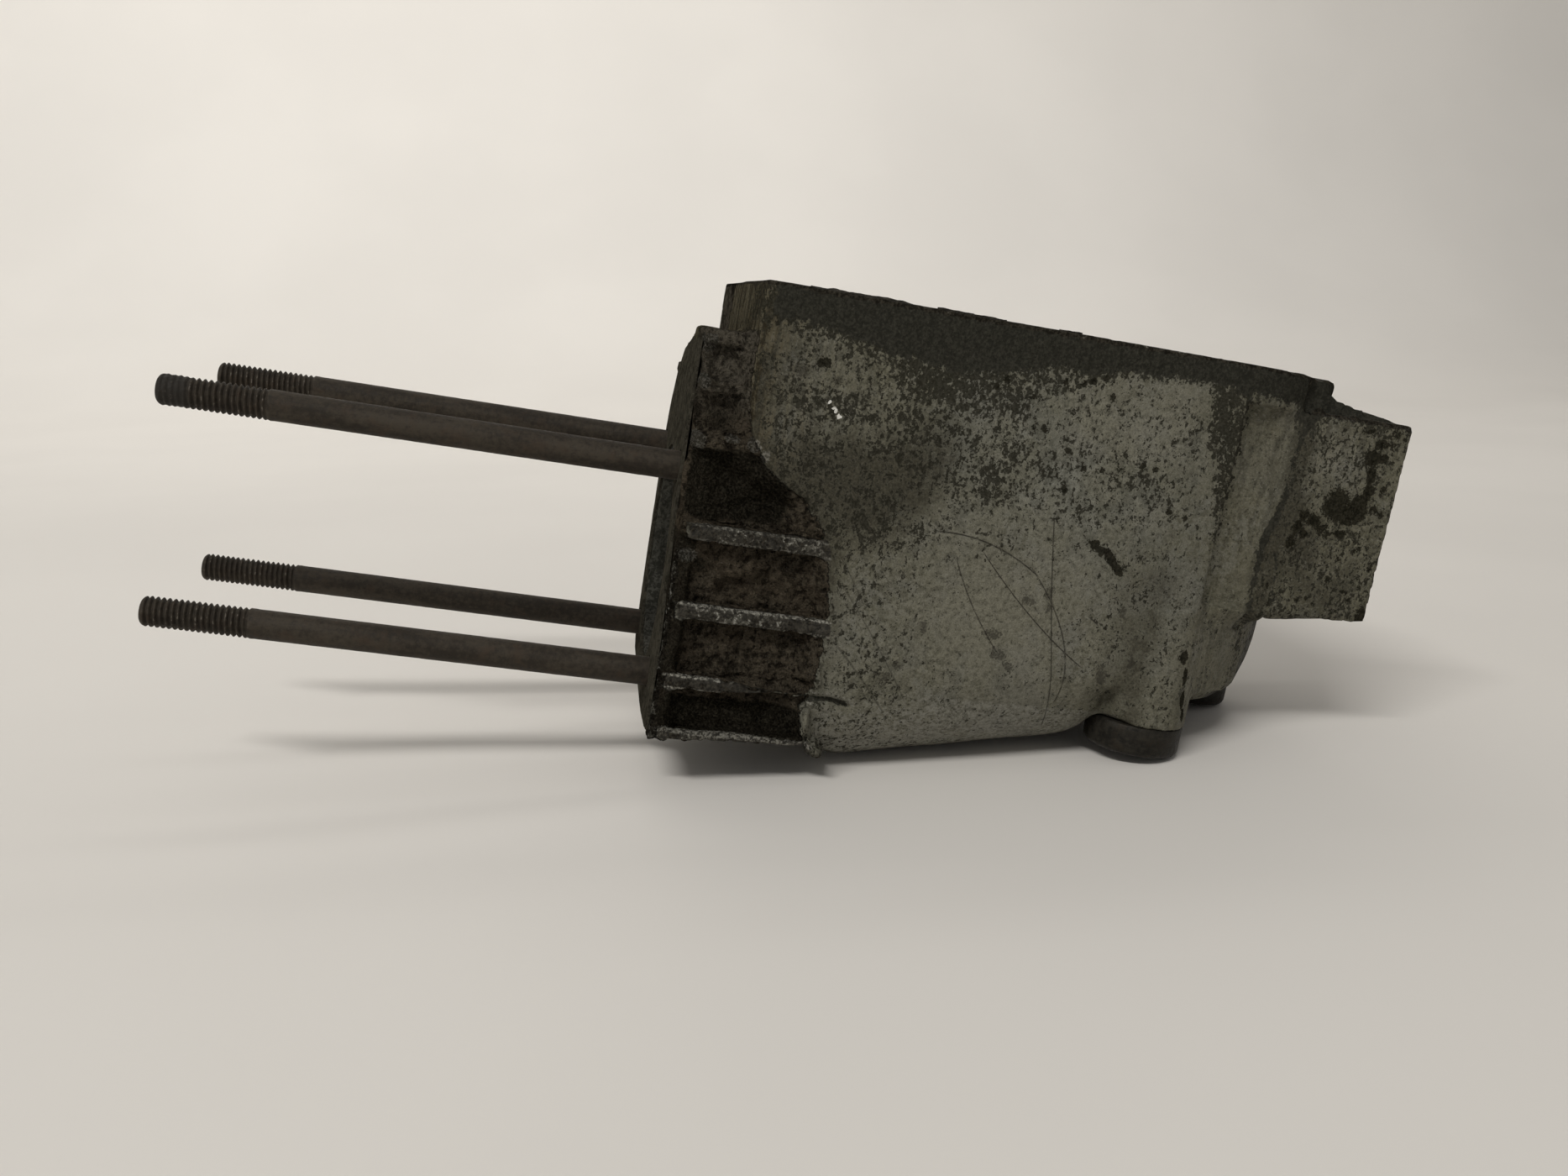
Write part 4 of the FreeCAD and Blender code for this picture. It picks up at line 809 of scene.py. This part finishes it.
    # baked crust in the recesses
    crumbs = N.add(N.mul(small, 0.6), N.mul(mid, 0.4))
    crust_c = N.mix(N.step(crumbs, 0.42, 0.58), (0.036, 0.030, 0.022), (0.124, 0.104, 0.075))
    crust_c = N.mix(N.mul(N.step(big, 0.48, 0.60), 0.40), crust_c, (0.110, 0.087, 0.060))
    crust_c = N.mix(N.mul(N.step(fine, 0.60, 0.70), 0.50), crust_c, (0.200, 0.172, 0.130))
    crust_c = N.mix(N.mul(N.step(small, 0.38, 0.46, 1.0, 0.0), 0.65), crust_c, (0.018, 0.015, 0.011))
    crust_c = N.mix(N.mul(N.step(tiny, 0.66, 0.72), 0.6), crust_c, (0.24, 0.23, 0.20))
    crust_c = N.mix(N.step(Z, 40.0, 50.0, 0.0, 0.80), crust_c, N.mix(N.step(crumbs, 0.42, 0.58), (0.052, 0.046, 0.035), (0.165, 0.148, 0.116)))
    black_c = N.mix(N.step(fine, 0.45, 0.62), (0.012, 0.011, 0.008), (0.046, 0.041, 0.030))
    black_f = N.step(N.add(N.attr("black"), N.mul(N.math("SUBTRACT", crumbs, 0.5), 1.6)), 0.34, 0.64)
    crust_c = N.mix(N.mul(black_f, 0.9), crust_c, black_c)
    crust_f = N.step(N.add(N.attr("crust"), N.mul(N.math("SUBTRACT", crumbs, 0.5), 1.8)), 0.40, 0.58)
    skin = N.mix(crust_f, skin, crust_c)
    # worn metal
    w = N.add(N.attr("wear"), N.mul(N.math("SUBTRACT", N.add(N.mul(small, 0.55), N.mul(mid, 0.45)), 0.5), 3.6))
    wear_f = N.step(w, 0.92, 1.08)
    base_f = N.step(N.attr("wear"), 0.10, 0.28)
    skin = N.mix(N.mul(base_f, 0.95), skin, N.mix(N.step(N.add(N.mul(small, 0.5), N.mul(fine, 0.5)), 0.42, 0.60), (0.012, 0.0105, 0.008), (0.044, 0.039, 0.030)))
    wear_c = N.mix(N.step(fine, 0.44, 0.60), (0.078, 0.074, 0.060), (0.195, 0.187, 0.158))
    flakes = N.mul(N.step(N.add(N.mul(small, 0.5), N.mul(fine, 0.5)), 0.575, 0.615), N.step(N.attr("wear"), 0.4, 0.9))
    wear_c = N.mix(flakes, wear_c, (0.36, 0.355, 0.32))
    skin = N.mix(N.mul(wear_f, 0.9), skin, wear_c)
    # painted highlights: thin bright lines along the ribs' edges
    wander = N.mul(N.math("SUBTRACT", N.add(N.mul(mid, 0.6), N.mul(small, 0.4)), 0.5), 2.2)
    ZW = N.add(Z, wander)
    painted_edge_highlights = None
    for at, wide, amount in ((16.4, 0.16, 0.35), (12.7, 0.16, 0.35), (-3.9, 0.20, 0.85), (-7.7, 0.16, 0.45), (-22.7, 0.20, 0.95), (-26.1, 0.20, 0.85), (-37.0, 0.7, 0.55)):
        line = N.mul(N.step(N.math("ABSOLUTE", N.math("SUBTRACT", ZW, at)), wide, wide + 0.35, 1.0, 0.0), amount)
        painted_edge_highlights = line if painted_edge_highlights is None else N.math("MAXIMUM", painted_edge_highlights, line)
    painted_edge_highlights = N.mul(N.mul(painted_edge_highlights, N.step(N.attr("rib"), 0.15, 0.5)), N.step(N.add(N.mul(small, 0.5), N.mul(fine, 0.5)), 0.44, 0.54, 0.15, 1.0))
    skin = N.mix(painted_edge_highlights, skin, N.mix(N.step(fine, 0.44, 0.60), (0.12, 0.115, 0.095), (0.30, 0.29, 0.25)))
    caps_f = N.mul(N.step(N.add(N.attr("caps"), N.mul(ragged_edge, 0.45)), 0.36, 0.60), N.step(N.attr("caps"), 0.05, 0.2))
    skin = N.mix(N.mul(caps_f, 0.85), skin, N.mix(N.step(fine, 0.44, 0.60), (0.062, 0.058, 0.046), (0.185, 0.176, 0.150)))
    white_f = N.mul(N.step(N.add(N.attr("white"), N.mul(ragged_edge, 0.35)), 0.40, 0.52), N.step(N.attr("white"), 0.08, 0.2))
    skin = N.mix(white_f, skin, (0.72, 0.71, 0.66))
    inner_c = N.mix(N.step(tone, 0.42, 0.58), (0.032, 0.031, 0.026), (0.075, 0.073, 0.063))
    inner_c = N.mix(N.step(X, 22.0, 34.0, 0.8, 0.0), inner_c, (0.012, 0.012, 0.009))
    skin = N.mix(N.mul(N.attr("inner"), 0.8), skin, inner_c)

    dull = N.math("MAXIMUM", N.math("MAXIMUM", residue_and_shade_f, crust_f), N.math("MAXIMUM", corner_f, N.math("MAXIMUM", N.mul(islands, 0.8), spot_f)))
    rough = N.lerp(residue_and_shade_f, N.step(small, 0.3, 0.7, 0.52, 0.74), 0.66)
    rough = N.lerp(crust_f, rough, 0.92)
    metal = N.lerp(dull, N.lerp(wear_f, 0.10, 0.45), 0.0)
    N.bumps([
        (N.add(mid, N.mul(small, 0.5)), 0.0010, 0.55),
        (N.add(fine, N.mul(tiny, 0.5)), 0.00030, 0.75),
        (N.math("SUBTRACT", 1.0, N.math("MAXIMUM", scr, N.math("MAXIMUM", N.mul(islands, 0.4), N.mul(spot_f, 0.8)))), 0.0003, 0.8),
        (N.mul(crust_f, N.add(N.add(small, fine), N.mul(mid, 1.5))), 0.0022, 1.0),
    ])
    return N.set(color=skin, rough=rough, metal=metal, spec=N.lerp(dull, 0.20, 0.0))


casting = new_object("casting_skin", casting_mesh())
smooth_faces(casting.data)
casting_marks(casting.data)
_co = mesh_arrays(casting.data)[0]
vector_attribute(casting.data, "cast_m", to_cast(_co) / 1000.0)
casting.data.transform(Matrix.Scale(0.001, 4))
casting.data.update()
casting.data.materials.append(casting_material())
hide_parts("crankcase")


# ------------------------------------------------------------------ turned pieces
def lathe(profile, axis, origin, steps, jitter=None):
    """profile: (along, radius) in mm about a casting axis through origin; closed if it starts and ends off the axis."""
    prof = np.array(profile, float)
    ring = np.linspace(0, 2 * math.pi, steps, endpoint=False)
    a, r = prof[:, 0][:, None], prof[:, 1][:, None]
    u, v = r * np.cos(ring)[None], r * np.sin(ring)[None]
    s = np.repeat(a, steps, 1)
    pts = np.stack([s, u, v] if axis == "X" else [u, v, s], -1)
    if jitter is not None:
        pts = jitter(pts, ring)
    pts = pts.reshape(-1, 3) + np.array(origin, float)
    rows, faces = len(prof), []
    for i in range(rows - 1):
        for j in range(steps):
            k = (j + 1) % steps
            faces.append((i * steps + j, i * steps + k, (i + 1) * steps + k, (i + 1) * steps + j))
    if np.allclose(prof[0], prof[-1]):
        pts = pts[:-steps]
        m = (rows - 1) * steps
        faces = [tuple(v % m for v in f) for f in faces]
    else:
        for end, flip in ((0, True), (rows - 1, False)):
            base = [end * steps + j for j in range(steps)]
            faces.append(tuple(base if flip != (axis == "X") else base[::-1]))
    me = bpy.data.meshes.new("turned")
    me.from_pydata([tuple(p) for p in to_row(pts) / 1000.0], [], faces)
    me.validate()
    me.update()
    smooth_faces(me)
    return me


def keep_in_box(me, node):
    lo, hi = (np.array(v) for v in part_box(node))
    co = mesh_arrays(me)[0]
    set_co(me, np.clip(co, lo + 1e-6, hi - 1e-6))


def fix_normals(me):
    import bmesh
    bm = bmesh.new()
    bm.from_mesh(me)
    bmesh.ops.recalc_face_normals(bm, faces=bm.faces)
    bm.to_mesh(me)
    bm.free()
    me.update()


def stud_mesh(y0, z0, seed, clogged):
    pitch, r_out, r_in = 1.41, 3.965, 3.20
    length_threaded = 27.0
    tip, end = -128.8, 22.9
    xs_ = list(np.arange(tip, tip + length_threaded + 1.0, 0.16)) + list(np.arange(tip + length_threaded + 1.2, 1.0, 1.5)) + [1.0, 22.0, end]
    xs_ = np.array(xs_)
    steps = 40
    ring = np.linspace(0, 2 * math.pi, steps, endpoint=False)
    A, T = np.meshgrid(xs_, ring, indexing="ij")
    phase = (A / pitch - T / (2 * math.pi)) % 1.0
    tri = np.abs(phase * 2 - 1)
    tri = np.clip((tri - 0.08) / 0.80, 0, 1)
    depth = ramp(A, tip + 0.6, tip + 1.6) * (1 - ramp(A, tip + length_threaded - 2.2, tip + length_threaded))
    P = np.stack([A.ravel(), 7.3 * np.cos(T.ravel()), 7.3 * np.sin(T.ravel())], -1) + seed * 31.7
    dirt = (fbm(P, 3.0, seed, 3) - 0.5).reshape(A.shape)
    clog = np.zeros_like(A)
    if clogged:
        clog = 1 - ramp(A + dirt * 3, tip + 6.5, tip + 9.5)
    depth = depth * (1 - 0.72 * clog) * (1 - 0.25 * np.clip(dirt * 4, 0, 1))
    rad = r_out - (r_out - r_in) * (1 - tri) * depth
    shank = ramp(A, tip + length_threaded - 0.5, tip + length_threaded + 1.0)
    rad = rad * (1 - 0.004 * shank) - 0.05 * shank
    rough = (fbm(P, 1.1, seed + 3, 2) - 0.5).reshape(A.shape)
    rad = rad + rough * 0.10 * (1 + 1.2 * clog) - 0.05
    rad = rad + clog * (fbm(P, 1.7, seed + 9, 3).reshape(A.shape) - 0.62) * 0.5
    # rounded tip
    t = np.clip((A - tip) / 1.9, 0, 1)
    cap = np.sqrt(np.clip(1 - (1 - t) ** 2, 0, 1))
    rad = np.minimum(rad, 2.1 + (r_out - 2.1) * cap)
    rad = np.minimum(rad, r_out)
    rad = np.where(A > 22.4, rad * 0.9, rad)
    U, V = rad * np.cos(T), rad * np.sin(T)
    pts = np.stack([A, U + y0, V + z0], -1).reshape(-1, 3)
    n = len(xs_)
    faces = []
    for i in range(n - 1):
        for j in range(steps):
            k = (j + 1) % steps
            faces.append((i * steps + j, i * steps + k, (i + 1) * steps + k, (i + 1) * steps + j))
    extra = [[tip + 0.0, y0, z0]]
    pts = np.vstack([pts, extra])
    centre = len(pts) - 1
    for j in range(steps):
        faces.append((centre, (j + 1) % steps, j))
    faces.append(tuple((n - 1) * steps + j for j in range(steps)))
    me = bpy.data.meshes.new("stud")
    me.from_pydata([tuple(p) for p in to_row(pts) / 1000.0], [], faces)
    fix_normals(me)
    smooth_faces(me)
    th = np.concatenate([((1 - tri) * depth).ravel(), [0.0]])
    attribute(me, "root_of_thread", th)
    attribute(me, "threaded", np.concatenate([depth.ravel(), [0.0]]))
    attribute(me, "clog", np.concatenate([clog.ravel(), [1.0 if clogged else 0.0]]))
    attribute(me, "tipend", np.concatenate([(1 - ramp(A, tip + 0.5, tip + 2.0)).ravel(), [1.0]]))
    vector_attribute(me, "cast_m", np.vstack([pts]) / 1000.0)
    return me


def steel_material(name, dark, light, rust, rough=(0.42, 0.7), metal=0.55, threads=False):
    N = Nodes(name)
    vec = N.attr_vec("cast_m")
    long = N.noise(260, 4, 0.6, vec=vec, squash=(0.16, 1.0, 1.0))
    mid, small, fine = N.noise(240, 5, 0.6), N.noise(800, 4, 0.6), N.noise(2200, 3, 0.6)
    tone = N.add(N.mul(long, 0.5), N.mul(small, 0.5))
    col = N.mix(N.step(tone, 0.38, 0.62), dark, light)
    col = N.mix(N.mul(N.step(mid, 0.50, 0.72), 0.55), col, rust)
    col = N.mix(N.mul(N.step(fine, 0.60, 0.72), 0.22), col, tuple(min(1.0, c * 1.5) for c in light))
    if threads:
        root = N.attr("root_of_thread")
        col = N.mix(N.mul(root, 0.50), col, (0.018, 0.0145, 0.011))
        col = N.mix(N.mul(N.attr("clog"), 0.85), col, (0.020, 0.018, 0.015))
        crest = N.mul(N.mul(N.step(small, 0.56, 0.66), N.step(root, 0.0, 0.25, 0.5, 0.0)), N.attr("threaded"))
        col = N.mix(crest, col, (0.20, 0.18, 0.155))
    N.bumps([(N.add(small, N.mul(mid, 0.6)), 0.0004, 0.55), (fine, 0.00015, 0.5)])
    return N.set(color=col, rough=N.step(small, 0.3, 0.7, *rough), metal=metal, spec=0.16)


stud_mat = steel_material("stud_steel_brown", (0.0235, 0.0190, 0.0140), (0.0510, 0.0420, 0.0310), (0.050, 0.035, 0.0235), (0.52, 0.74), 0.05, threads=True)
for name, sy, sz, seed in (("stud_lower_front", -1, -1, 3), ("stud_lower_rear", 1, -1, 5), ("stud_upper_front", -1, 1, 8), ("stud_upper_rear", 1, 1, 13)):
    me = stud_mesh(sy * 28.0, sz * 28.0, seed, name == "stud_upper_front")
    keep_in_box(me, name)
    o = new_object(name + "_turned", me)
    o.data.materials.append(stud_mat)
    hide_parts(name)


def bush_profile(foot, t, r, bore=4.4, shank_r=6.98, shank=13.0):
    def arc(cx, cr, rad, a0, a1, k=6):
        return [(cx + rad * math.sin(math.radians(a)), cr + rad * math.cos(math.radians(a))) for a in np.linspace(a0, a1, k)]
    low = foot - t
    pts = [(foot, shank_r), (foot, r - 0.35), (foot - 0.35, r)]
    pts += [(foot - (t * k / 4.0), r - 0.02 * k) for k in (1, 2)]
    pts += [(low + 1.6, r - 0.05), (low + 0.9, r - 0.35), (low + 0.45, r - 0.75), (low + 0.15, r - 1.2), (low, r - 1.7)]
    pts += [(low, bore + 0.8), (low + 0.8, bore), (foot + shank, bore), (foot + shank, shank_r - 0.8), (foot + shank - 0.8, shank_r), (foot, shank_r)]
    return pts


foot_mat = steel_material("bush_steel_oily", (0.012, 0.011, 0.009), (0.030, 0.027, 0.021), (0.026, 0.020, 0.014), (0.40, 0.62), 0.3)
for name, cx, cy, foot, t, r in (("mounting_bush_front", 135.0, -37.2, -21.5, 8.51, 13.15), ("mounting_bush_rear", 135.0, 37.2, -21.5, 8.51, 13.15),
                                 ("mounting_bush_end", 170.5, 5.0, -15.0, 8.93, 12.25)):
    def uneven(pts, ring, s=cx):
        w = 1 + 0.0035 * np.sin(3 * ring + s) + 0.003 * np.sin(7 * ring + 2 * s) - 0.006
        pts[..., 0] *= np.where(np.hypot(pts[..., 0], pts[..., 1]) > 8, w[None], 1)
        pts[..., 1] *= np.where(np.hypot(pts[..., 0], pts[..., 1]) > 8, w[None], 1)
        return pts
    me = lathe(bush_profile(foot, t, r), "Z", (cx, cy, 0), 96, uneven)
    fix_normals(me)
    keep_in_box(me, name)
    c3 = mesh_arrays(me)[0]
    vector_attribute(me, "cast_m", to_cast(c3 * 1000) / 1000)
    o = new_object(name + "_turned", me)
    o.data.materials.append(foot_mat)
    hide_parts(name)

me = lathe([(-33.0, 13.3), (-33.0, 15.4), (-32.4, 15.97), (-22.02, 15.97), (-22.02, 13.3), (-22.8, 12.5), (-32.2, 12.5), (-33.0, 13.3)], "Z", (78, 0, 0), 96)
fix_normals(me)
vector_attribute(me, "cast_m", to_cast(mesh_arrays(me)[0] * 1000) / 1000)
keep_in_box(me, "main_bush")
o = new_object("main_bush_turned", me)
o.data.materials.append(steel_material("bearing_bronze_dull", (0.20, 0.13, 0.06), (0.36, 0.25, 0.13), (0.10, 0.07, 0.04), (0.35, 0.55), 0.8))
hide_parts("main_bush")

me = lathe([(-37.15, 13.8), (-37.15, 15.0), (-36.6, 15.95), (-33.18, 15.95), (-33.18, 14.7), (-34.4, 14.7), (-35.2, 12.3), (-35.8, 12.3), (-37.15, 13.8)], "Z", (78, 0, 0), 96)
fix_normals(me)
vector_attribute(me, "cast_m", to_cast(mesh_arrays(me)[0] * 1000) / 1000)
keep_in_box(me, "oil_seal")
o = new_object("oil_seal_ring", me)
o.data.materials.append(steel_material("seal_rubber_black", (0.012, 0.012, 0.012), (0.030, 0.029, 0.028), (0.02, 0.018, 0.016), (0.55, 0.8), 0.0))
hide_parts("oil_seal")


# ------------------------------------------------------------------ gaskets
def ragged(outline, spacing, amount, seed):
    """The outline resampled every spacing mm, each point moved in by up to amount."""
    pts = np.array(outline, float)
    out = []
    for i in range(len(pts)):
        a, b = pts[i], pts[(i + 1) % len(pts)]
        k = max(1, int(np.linalg.norm(b - a) / spacing))
        for j in range(k):
            out.append(a + (b - a) * j / k)
    out = np.array(out)
    centre = out.mean(0)
    p3 = np.c_[out, np.zeros(len(out))] + seed * 13.1
    f = fbm(p3, spacing * 2.2, seed, 3)
    d = centre - out
    d /= np.maximum(np.linalg.norm(d, axis=1), 1e-6)[:, None]
    return out + d * (f * amount)[:, None]


def plate(loops, to3, low, high, rough=0.0, seed=0, cell=1.2):
    """A flat plate between two levels: loops[0] is its outline and the others its holes. to3 puts (u, v, level) into casting axes."""
    verts, edges = [], []
    for loop in loops:
        base = len(verts)
        verts += [Vector((float(p[0]), float(p[1]))) for p in loop]
        edges += [(base + i, base + (i + 1) % len(loop)) for i in range(len(loop))]
    lo2, hi2 = np.array(loops[0]).min(0), np.array(loops[0]).max(0)
    border = len(verts)
    gu, gv = np.meshgrid(np.arange(lo2[0] + cell / 2, hi2[0], cell), np.arange(lo2[1] + cell / 2, hi2[1], cell))
    inside = []
    poly = [np.array(l, float) for l in loops]

    def contains(poly_, q):
        a, b = poly_, np.roll(poly_, -1, 0)
        cross = ((a[:, 1] > q[1]) != (b[:, 1] > q[1])) & (q[0] < (b[:, 0] - a[:, 0]) * (q[1] - a[:, 1]) / (b[:, 1] - a[:, 1] + 1e-12) + a[:, 0])
        return cross.sum() % 2 == 1

    allp = np.vstack(poly)
    for q in zip(gu.ravel(), gv.ravel()):
        if contains(poly[0], q) and not any(contains(h, q) for h in poly[1:]) and np.min(np.hypot(allp[:, 0] - q[0], allp[:, 1] - q[1])) > cell * 0.45:
            inside.append(q)
    verts += [Vector((float(q[0]), float(q[1]))) for q in inside]
    v2, e2, f2, ov, oe, of_ = delaunay_2d_cdt(verts, edges, [], 2 if len(loops) > 1 else 1, 1e-5)
    faces = []
    for f in f2:
        m = np.mean([[v2[i].x, v2[i].y] for i in f], 0)
        if contains(poly[0], m) and not any(contains(h, m) for h in poly[1:]):
            faces.append(tuple(f))
    uv = np.array([[v.x, v.y] for v in v2])
    n = len(uv)
    relief = (fbm(np.c_[uv, np.zeros(n)] + seed * 7.7, 2.2, seed, 3)) * rough
    top = np.c_[uv, high - relief]
    bot = np.c_[uv, np.full(n, low)]
    edge_count = {}
    for f in faces:
        for a, b in zip(f, f[1:] + f[:1]):
            edge_count[(a, b)] = edge_count.get((a, b), 0) + 1
    allf = list(faces) + [tuple(i + n for i in reversed(f)) for f in faces]
    for (a, b) in edge_count:
        if (b, a) not in edge_count:
            allf.append((b, a, a + n, b + n))
    pts = to3(np.vstack([top, bot]))
    me = bpy.data.meshes.new("plate")
    me.from_pydata([tuple(p) for p in to_row(pts) / 1000.0], [], allf)
    fix_normals(me)
    vector_attribute(me, "cast_m", pts / 1000.0)
    return me


def circle(cx, cy, r, k=48):
    return [(cx + r * math.cos(a), cy + r * math.sin(a)) for a in np.linspace(0, 2 * math.pi, k, endpoint=False)]


def gasket_material(name, dark, light):
    N = Nodes(name)
    mid, small, fine = N.noise(300, 5, 0.6), N.noise(900, 4, 0.6), N.noise(2400, 3, 0.6)
    col = N.mix(N.step(N.add(N.mul(mid, 0.5), N.mul(small, 0.5)), 0.38, 0.62), dark, light)
    col = N.mix(N.mul(N.step(fine, 0.58, 0.70), 0.5), col, tuple(min(1, c * 2.0) for c in light))
    N.bumps([(N.add(small, mid), 0.0005, 0.6), (fine, 0.0002, 0.6)])
    return N.set(color=col, rough=N.step(small, 0.3, 0.7, 0.80, 0.96), metal=0.0, spec=0.0)


deck_outline = [(-35.5, 61.5), (-13, 61), (7, 57.4), (20.5, 50.6), (30.2, 40.6), (35.6, 28.2), (36.8, -1), (36.4, -29), (34.2, -33.6), (29, -36.6), (0, -39.6), (-24, -40.6),
                (-42, -39.4), (-46.6, -38.6), (-46.9, -22), (-46, -13), (-43.6, -6.5), (-40.4, -3), (-41.5, 4), (-37, 11), (-36, 20)]
loops = [ragged(deck_outline, 1.6, 0.5, 5), circle(0, 0, 30.5, 96)] + [circle(sy * 28, sz * 28, 4.3, 28) for sy in (-1, 1) for sz in (-1, 1)]
me = plate(loops, lambda q: np.c_[-q[:, 2], q[:, 0], q[:, 1]], 0.0, 0.79, 0.12, 3, 2.2)
keep_in_box(me, "deck_gasket")
o = new_object("deck_gasket_sheet", me)
o.data.materials.append(gasket_material("gasket_sheet_oiled", (0.020, 0.0185, 0.014), (0.060, 0.055, 0.042)))
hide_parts("deck_gasket")

PATCHES = [
    [(22, -48.9), (31, -49.5), (43, -49.2), (49, -48.1), (46.5, -45.2), (38, -46.1), (30, -44.6), (24, -46.4)],
    [(54, -49.3), (63, -49.6), (71, -49.1), (73.5, -46.8), (67, -46.4), (66, -45.2), (60, -47.4), (56, -46.9)],
    [(86, -49.4), (92, -49.7), (93.5, -47.6), (88, -47.2)],
    [(14.5, -20), (19.8, -22), (20.4, -4), (18, 9), (20, 24), (15.6, 26), (14.2, 6)],
    [(30, 42.6), (52, 43.4), (55, 47.4), (41, 49.2), (28, 47.8)],
    [(70, 42.4), (90, 43), (91.5, 48.8), (78, 49.3), (72, 46.6)],
    [(106, 42.2), (118, 43.4), (120, 47.6), (110, 48.8)],
    [(178.4, -6), (180.6, -5.4), (183.4, 0.6), (181.6, 13.6), (178.6, 12), (180.6, 2), (180.0, -3)],
]
verts, faces, cast_at = [], [], []
for n, p in enumerate(PATCHES):
    me = plate([ragged(p, 0.8, 0.9, 20 + n)], lambda q: np.c_[q[:, 0], q[:, 1], q[:, 2]], 77.75, 78.68, 0.75, 30 + n, 0.8)
    base = len(verts)
    verts += [tuple(v.co) for v in me.vertices]
    faces += [tuple(i + base for i in f.vertices) for f in me.polygons]
me = bpy.data.meshes.new("scraps")
me.from_pydata(verts, [], faces)
fix_normals(me)
vector_attribute(me, "cast_m", to_cast(mesh_arrays(me)[0] * 1000) / 1000)
keep_in_box(me, "cover_gasket_remains")
o = new_object("cover_gasket_scraps", me)
o.data.materials.append(gasket_material("gasket_remains_black", (0.022, 0.020, 0.017), (0.065, 0.060, 0.050)))
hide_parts("cover_gasket_remains")

# ------------------------------------------------------------------ bench, light and camera
floor_me = bpy.data.meshes.new("bench")
W, pts, faces = 6.0, [], []
prof = [(-4.0, 0.0), (1.05, 0.0)] + [(1.05 + 0.7 * math.sin(a), 0.7 - 0.7 * math.cos(a)) for a in np.linspace(0.1, math.pi / 2, 16)] + [(1.75, 5.0)]
for yy, zz in prof:
    pts += [(-W, yy, zz), (W, yy, zz)]
for i in range(len(prof) - 1):
    faces.append((2 * i, 2 * i + 1, 2 * i + 3, 2 * i + 2))
floor_me.from_pydata(pts, [], faces)
floor_me.update()
smooth_faces(floor_me)
bench = bpy.data.objects.new("bench", floor_me)
bpy.context.scene.collection.objects.link(bench)
N = Nodes("bench_white")
cloud = N.noise(3.5, 3, 0.5)
grain = N.noise(900, 2, 0.5)
col = N.mix(N.step(cloud, 0.3, 0.7), (0.775, 0.748, 0.706), (0.810, 0.782, 0.738))
N.bumps([(grain, 0.0001, 0.1)])
bench.data.materials.append(N.set(color=col, rough=0.55, metal=0.0, spec=0.3))

world = bpy.data.worlds.new("studio")
bpy.context.scene.world = world
world.use_nodes = True
bg = world.node_tree.nodes["Background"]
bg.inputs[0].default_value = (1.0, 0.985, 0.96, 1.0)
bg.inputs[1].default_value = 0.295


def area(name, loc, target, size, power, color=(1.0, 0.98, 0.95)):
    light = bpy.data.lights.new(name, "AREA")
    light.shape = "RECTANGLE"
    light.size, light.size_y = size
    light.energy = power
    light.color = color
    ob = bpy.data.objects.new(name, light)
    bpy.context.scene.collection.objects.link(ob)
    ob.location = loc
    ob.rotation_mode = "QUATERNION"
    ob.rotation_quaternion = (Vector(target) - Vector(loc)).to_track_quat("-Z", "Y")
    return ob


area("key", (-0.95, -1.40, 1.85), (0.0, 0.1, 0.05), (1.3, 0.14), 32.0)
area("back", (-0.3, 0.85, 1.35), (-0.2, 1.75, 0.45), (2.2, 0.6), 10.5)

cam_data = bpy.data.cameras.new("photo_camera")
cam_data.sensor_width = 36.0
cam_data.lens = 1561.0 / 1867.0 * 36.0
cam_data.clip_start, cam_data.clip_end = 0.01, 30.0
camera = bpy.data.objects.new("photo_camera", cam_data)
bpy.context.scene.collection.objects.link(camera)
axes = turn_to_row(np.array([[0.97530639, -0.14784179, 0.16407392], [-0.13056443, 0.21321948, 0.96824087], [-0.17813022, -0.96575373, 0.18865144]]))
spot_at = to_row(np.array([-30.6, -369.1, 66.1])) / 1000.0
m = Matrix(((axes[0][0], axes[1][0], axes[2][0], spot_at[0]), (axes[0][1], axes[1][1], axes[2][1], spot_at[1]), (axes[0][2], axes[1][2], axes[2][2], spot_at[2]), (0, 0, 0, 1)))
camera.matrix_world = m
bpy.context.scene.camera = camera
view = bpy.context.scene.view_settings
view.view_transform = "Standard"
view.look = "None"
view.exposure = 0.0
view.gamma = 1.0
